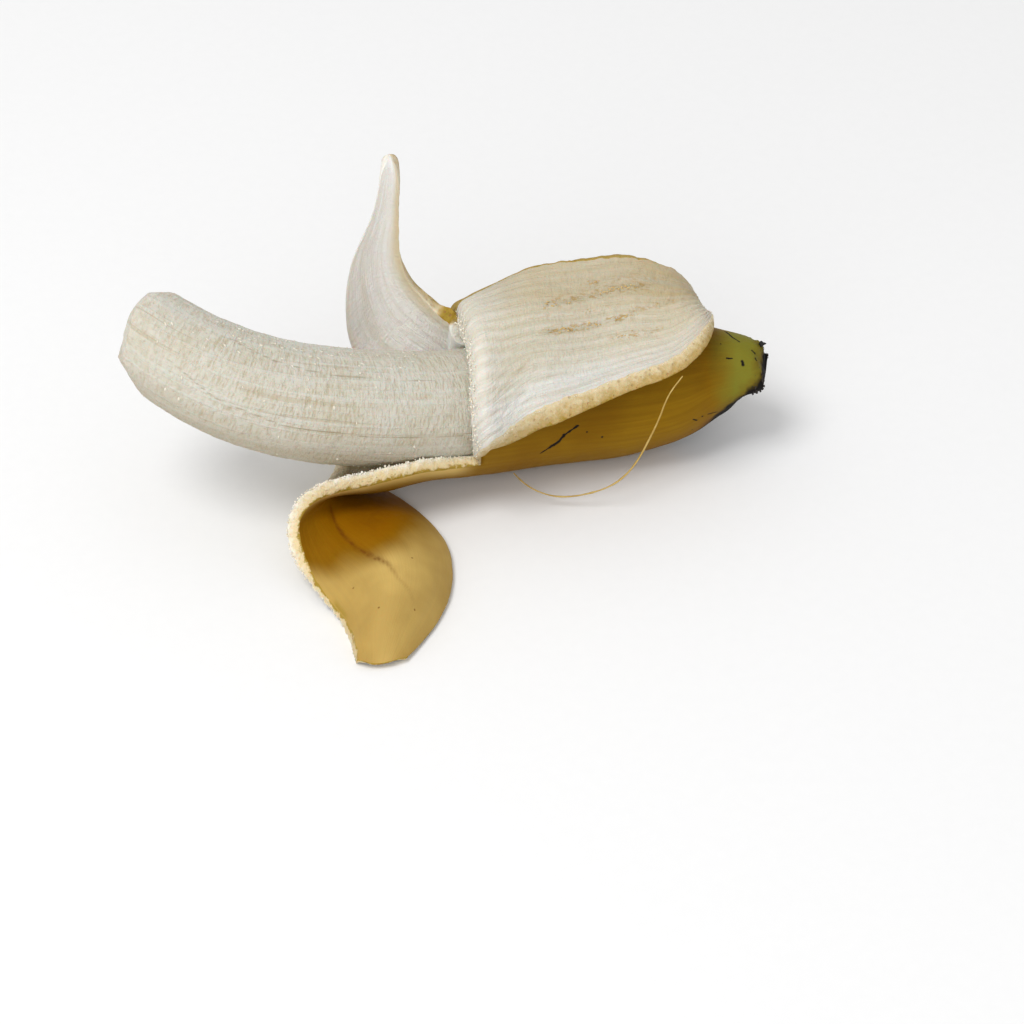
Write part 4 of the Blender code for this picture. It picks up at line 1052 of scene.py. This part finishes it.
crustShape = {"rows": [(0, 1.1, 0.2), (1, 1.1, 0.6), (2, 1.0, 0.8), (4, 0.8, 1.2), (6, 0.6, 1.6)],
              "knob": (68, 76, 2.4), "knobLift": (0.4, 0, 0.5)}
crustLines = []
for row, share, lowOnly in crustShape["rows"]:
    line = skinPoints[np.append(sheet["cup"][row], sheet["cup"][row][0])]
    lowness = np.clip((line[:, 2].mean() - line[:, 2]) / 6 + 1.2 - lowOnly, 0.25 * (row == 0), 1)
    crustLines.append((line, share * lowness * (0.75 + 0.4 * roughNoise(np.arange(len(line)) / 9, row, 13)).clip(0)))
first, last, share = crustShape["knob"]
crustLines.append((skinPoints[sheet["cup"][0][first:last:2]] + np.array(crustShape["knobLift"]), share))
grow("endCrust", "crumbRow", "banana_skin", crustLines, Finish=finishes["endCrust"], **crumbLook["crust"])


# floor, light and camera

# each light is its place, size and power
stageSetup = {"floorSize": 6.0, "target": (0, 0, 0.03), "world": 0.66,
              "keyLight": ((-0.55, -0.4, 1.35), 0.8, 10.8), "fillLight": ((-0.4, -1.4, 0.6), 1.4, 6)}

floorMesh = bpy.data.meshes.new("floor")
s = stageSetup["floorSize"] / 2
floorMesh.from_pydata([(-s, -s, 0), (s, -s, 0), (s, s, 0), (-s, s, 0)], [], [(0, 1, 2, 3)])
floor = addObject("floor", floorMesh)
paper, tree, shader = newMaterial("paleFloor")
place = objectPlace()
grain = cloud(300.0, 0.3, 0.7)
finishShader(blend(grain, (0.86, 0.86, 0.86), (0.87, 0.87, 0.87)), between(grain, 0.85, 0.95), grain, 0.05, 0.0001)
floorMesh.materials.append(paper)

for name in ("keyLight", "fillLight"):
    data = bpy.data.lights.new(name, "AREA")
    spot, data.size, data.energy = stageSetup[name]
    data.shape = "DISK"
    light = addObject(name, data)
    light.location = spot
    light.rotation_euler = (Vector(stageSetup["target"]) - Vector(spot)).to_track_quat("-Z", "Y").to_euler()
world = bpy.data.worlds.new("studio")
world.use_nodes = True
backdrop = world.node_tree.nodes["Background"].inputs
backdrop["Color"].default_value, backdrop["Strength"].default_value = (1, 1, 1, 1), stageSetup["world"]
bpy.context.scene.world = world
bpy.context.scene.view_settings.view_transform = "Standard"

cameraSetup = {"elevation": 40.0, "distance": 750.0, "focalPixels": 3000.0, "imageWidth": 1024, "sensor": 36.0,
               "target": (-35.0, -11.5, 20.8), "targetPixel": (460, 407), "mmPerPixel": 0.25}
cameraData = bpy.data.cameras.new("camera")
cameraData.sensor_width = cameraSetup["sensor"]
cameraData.lens = cameraSetup["sensor"] * cameraSetup["focalPixels"] / cameraSetup["imageWidth"]
cameraData.clip_end = 50
camera = addObject("camera", cameraData)
tilt = math.radians(cameraSetup["elevation"])
lookWay = np.array([0, math.cos(tilt), -math.sin(tilt)])
upWay = np.array([0, math.sin(tilt), math.cos(tilt)])
half = cameraSetup["imageWidth"] / 2
right, up = (np.array([-1, 1]) * (half - np.array(cameraSetup["targetPixel"]))) * cameraSetup["mmPerPixel"]
spot = np.array(cameraSetup["target"]) - cameraSetup["distance"] * lookWay - (right, 0, 0) - upWay * up
camera.location = (spot + originShift) * mm
camera.rotation_euler = (math.radians(90) - tilt, 0, 0)
bpy.context.scene.camera = camera
print("stage set")
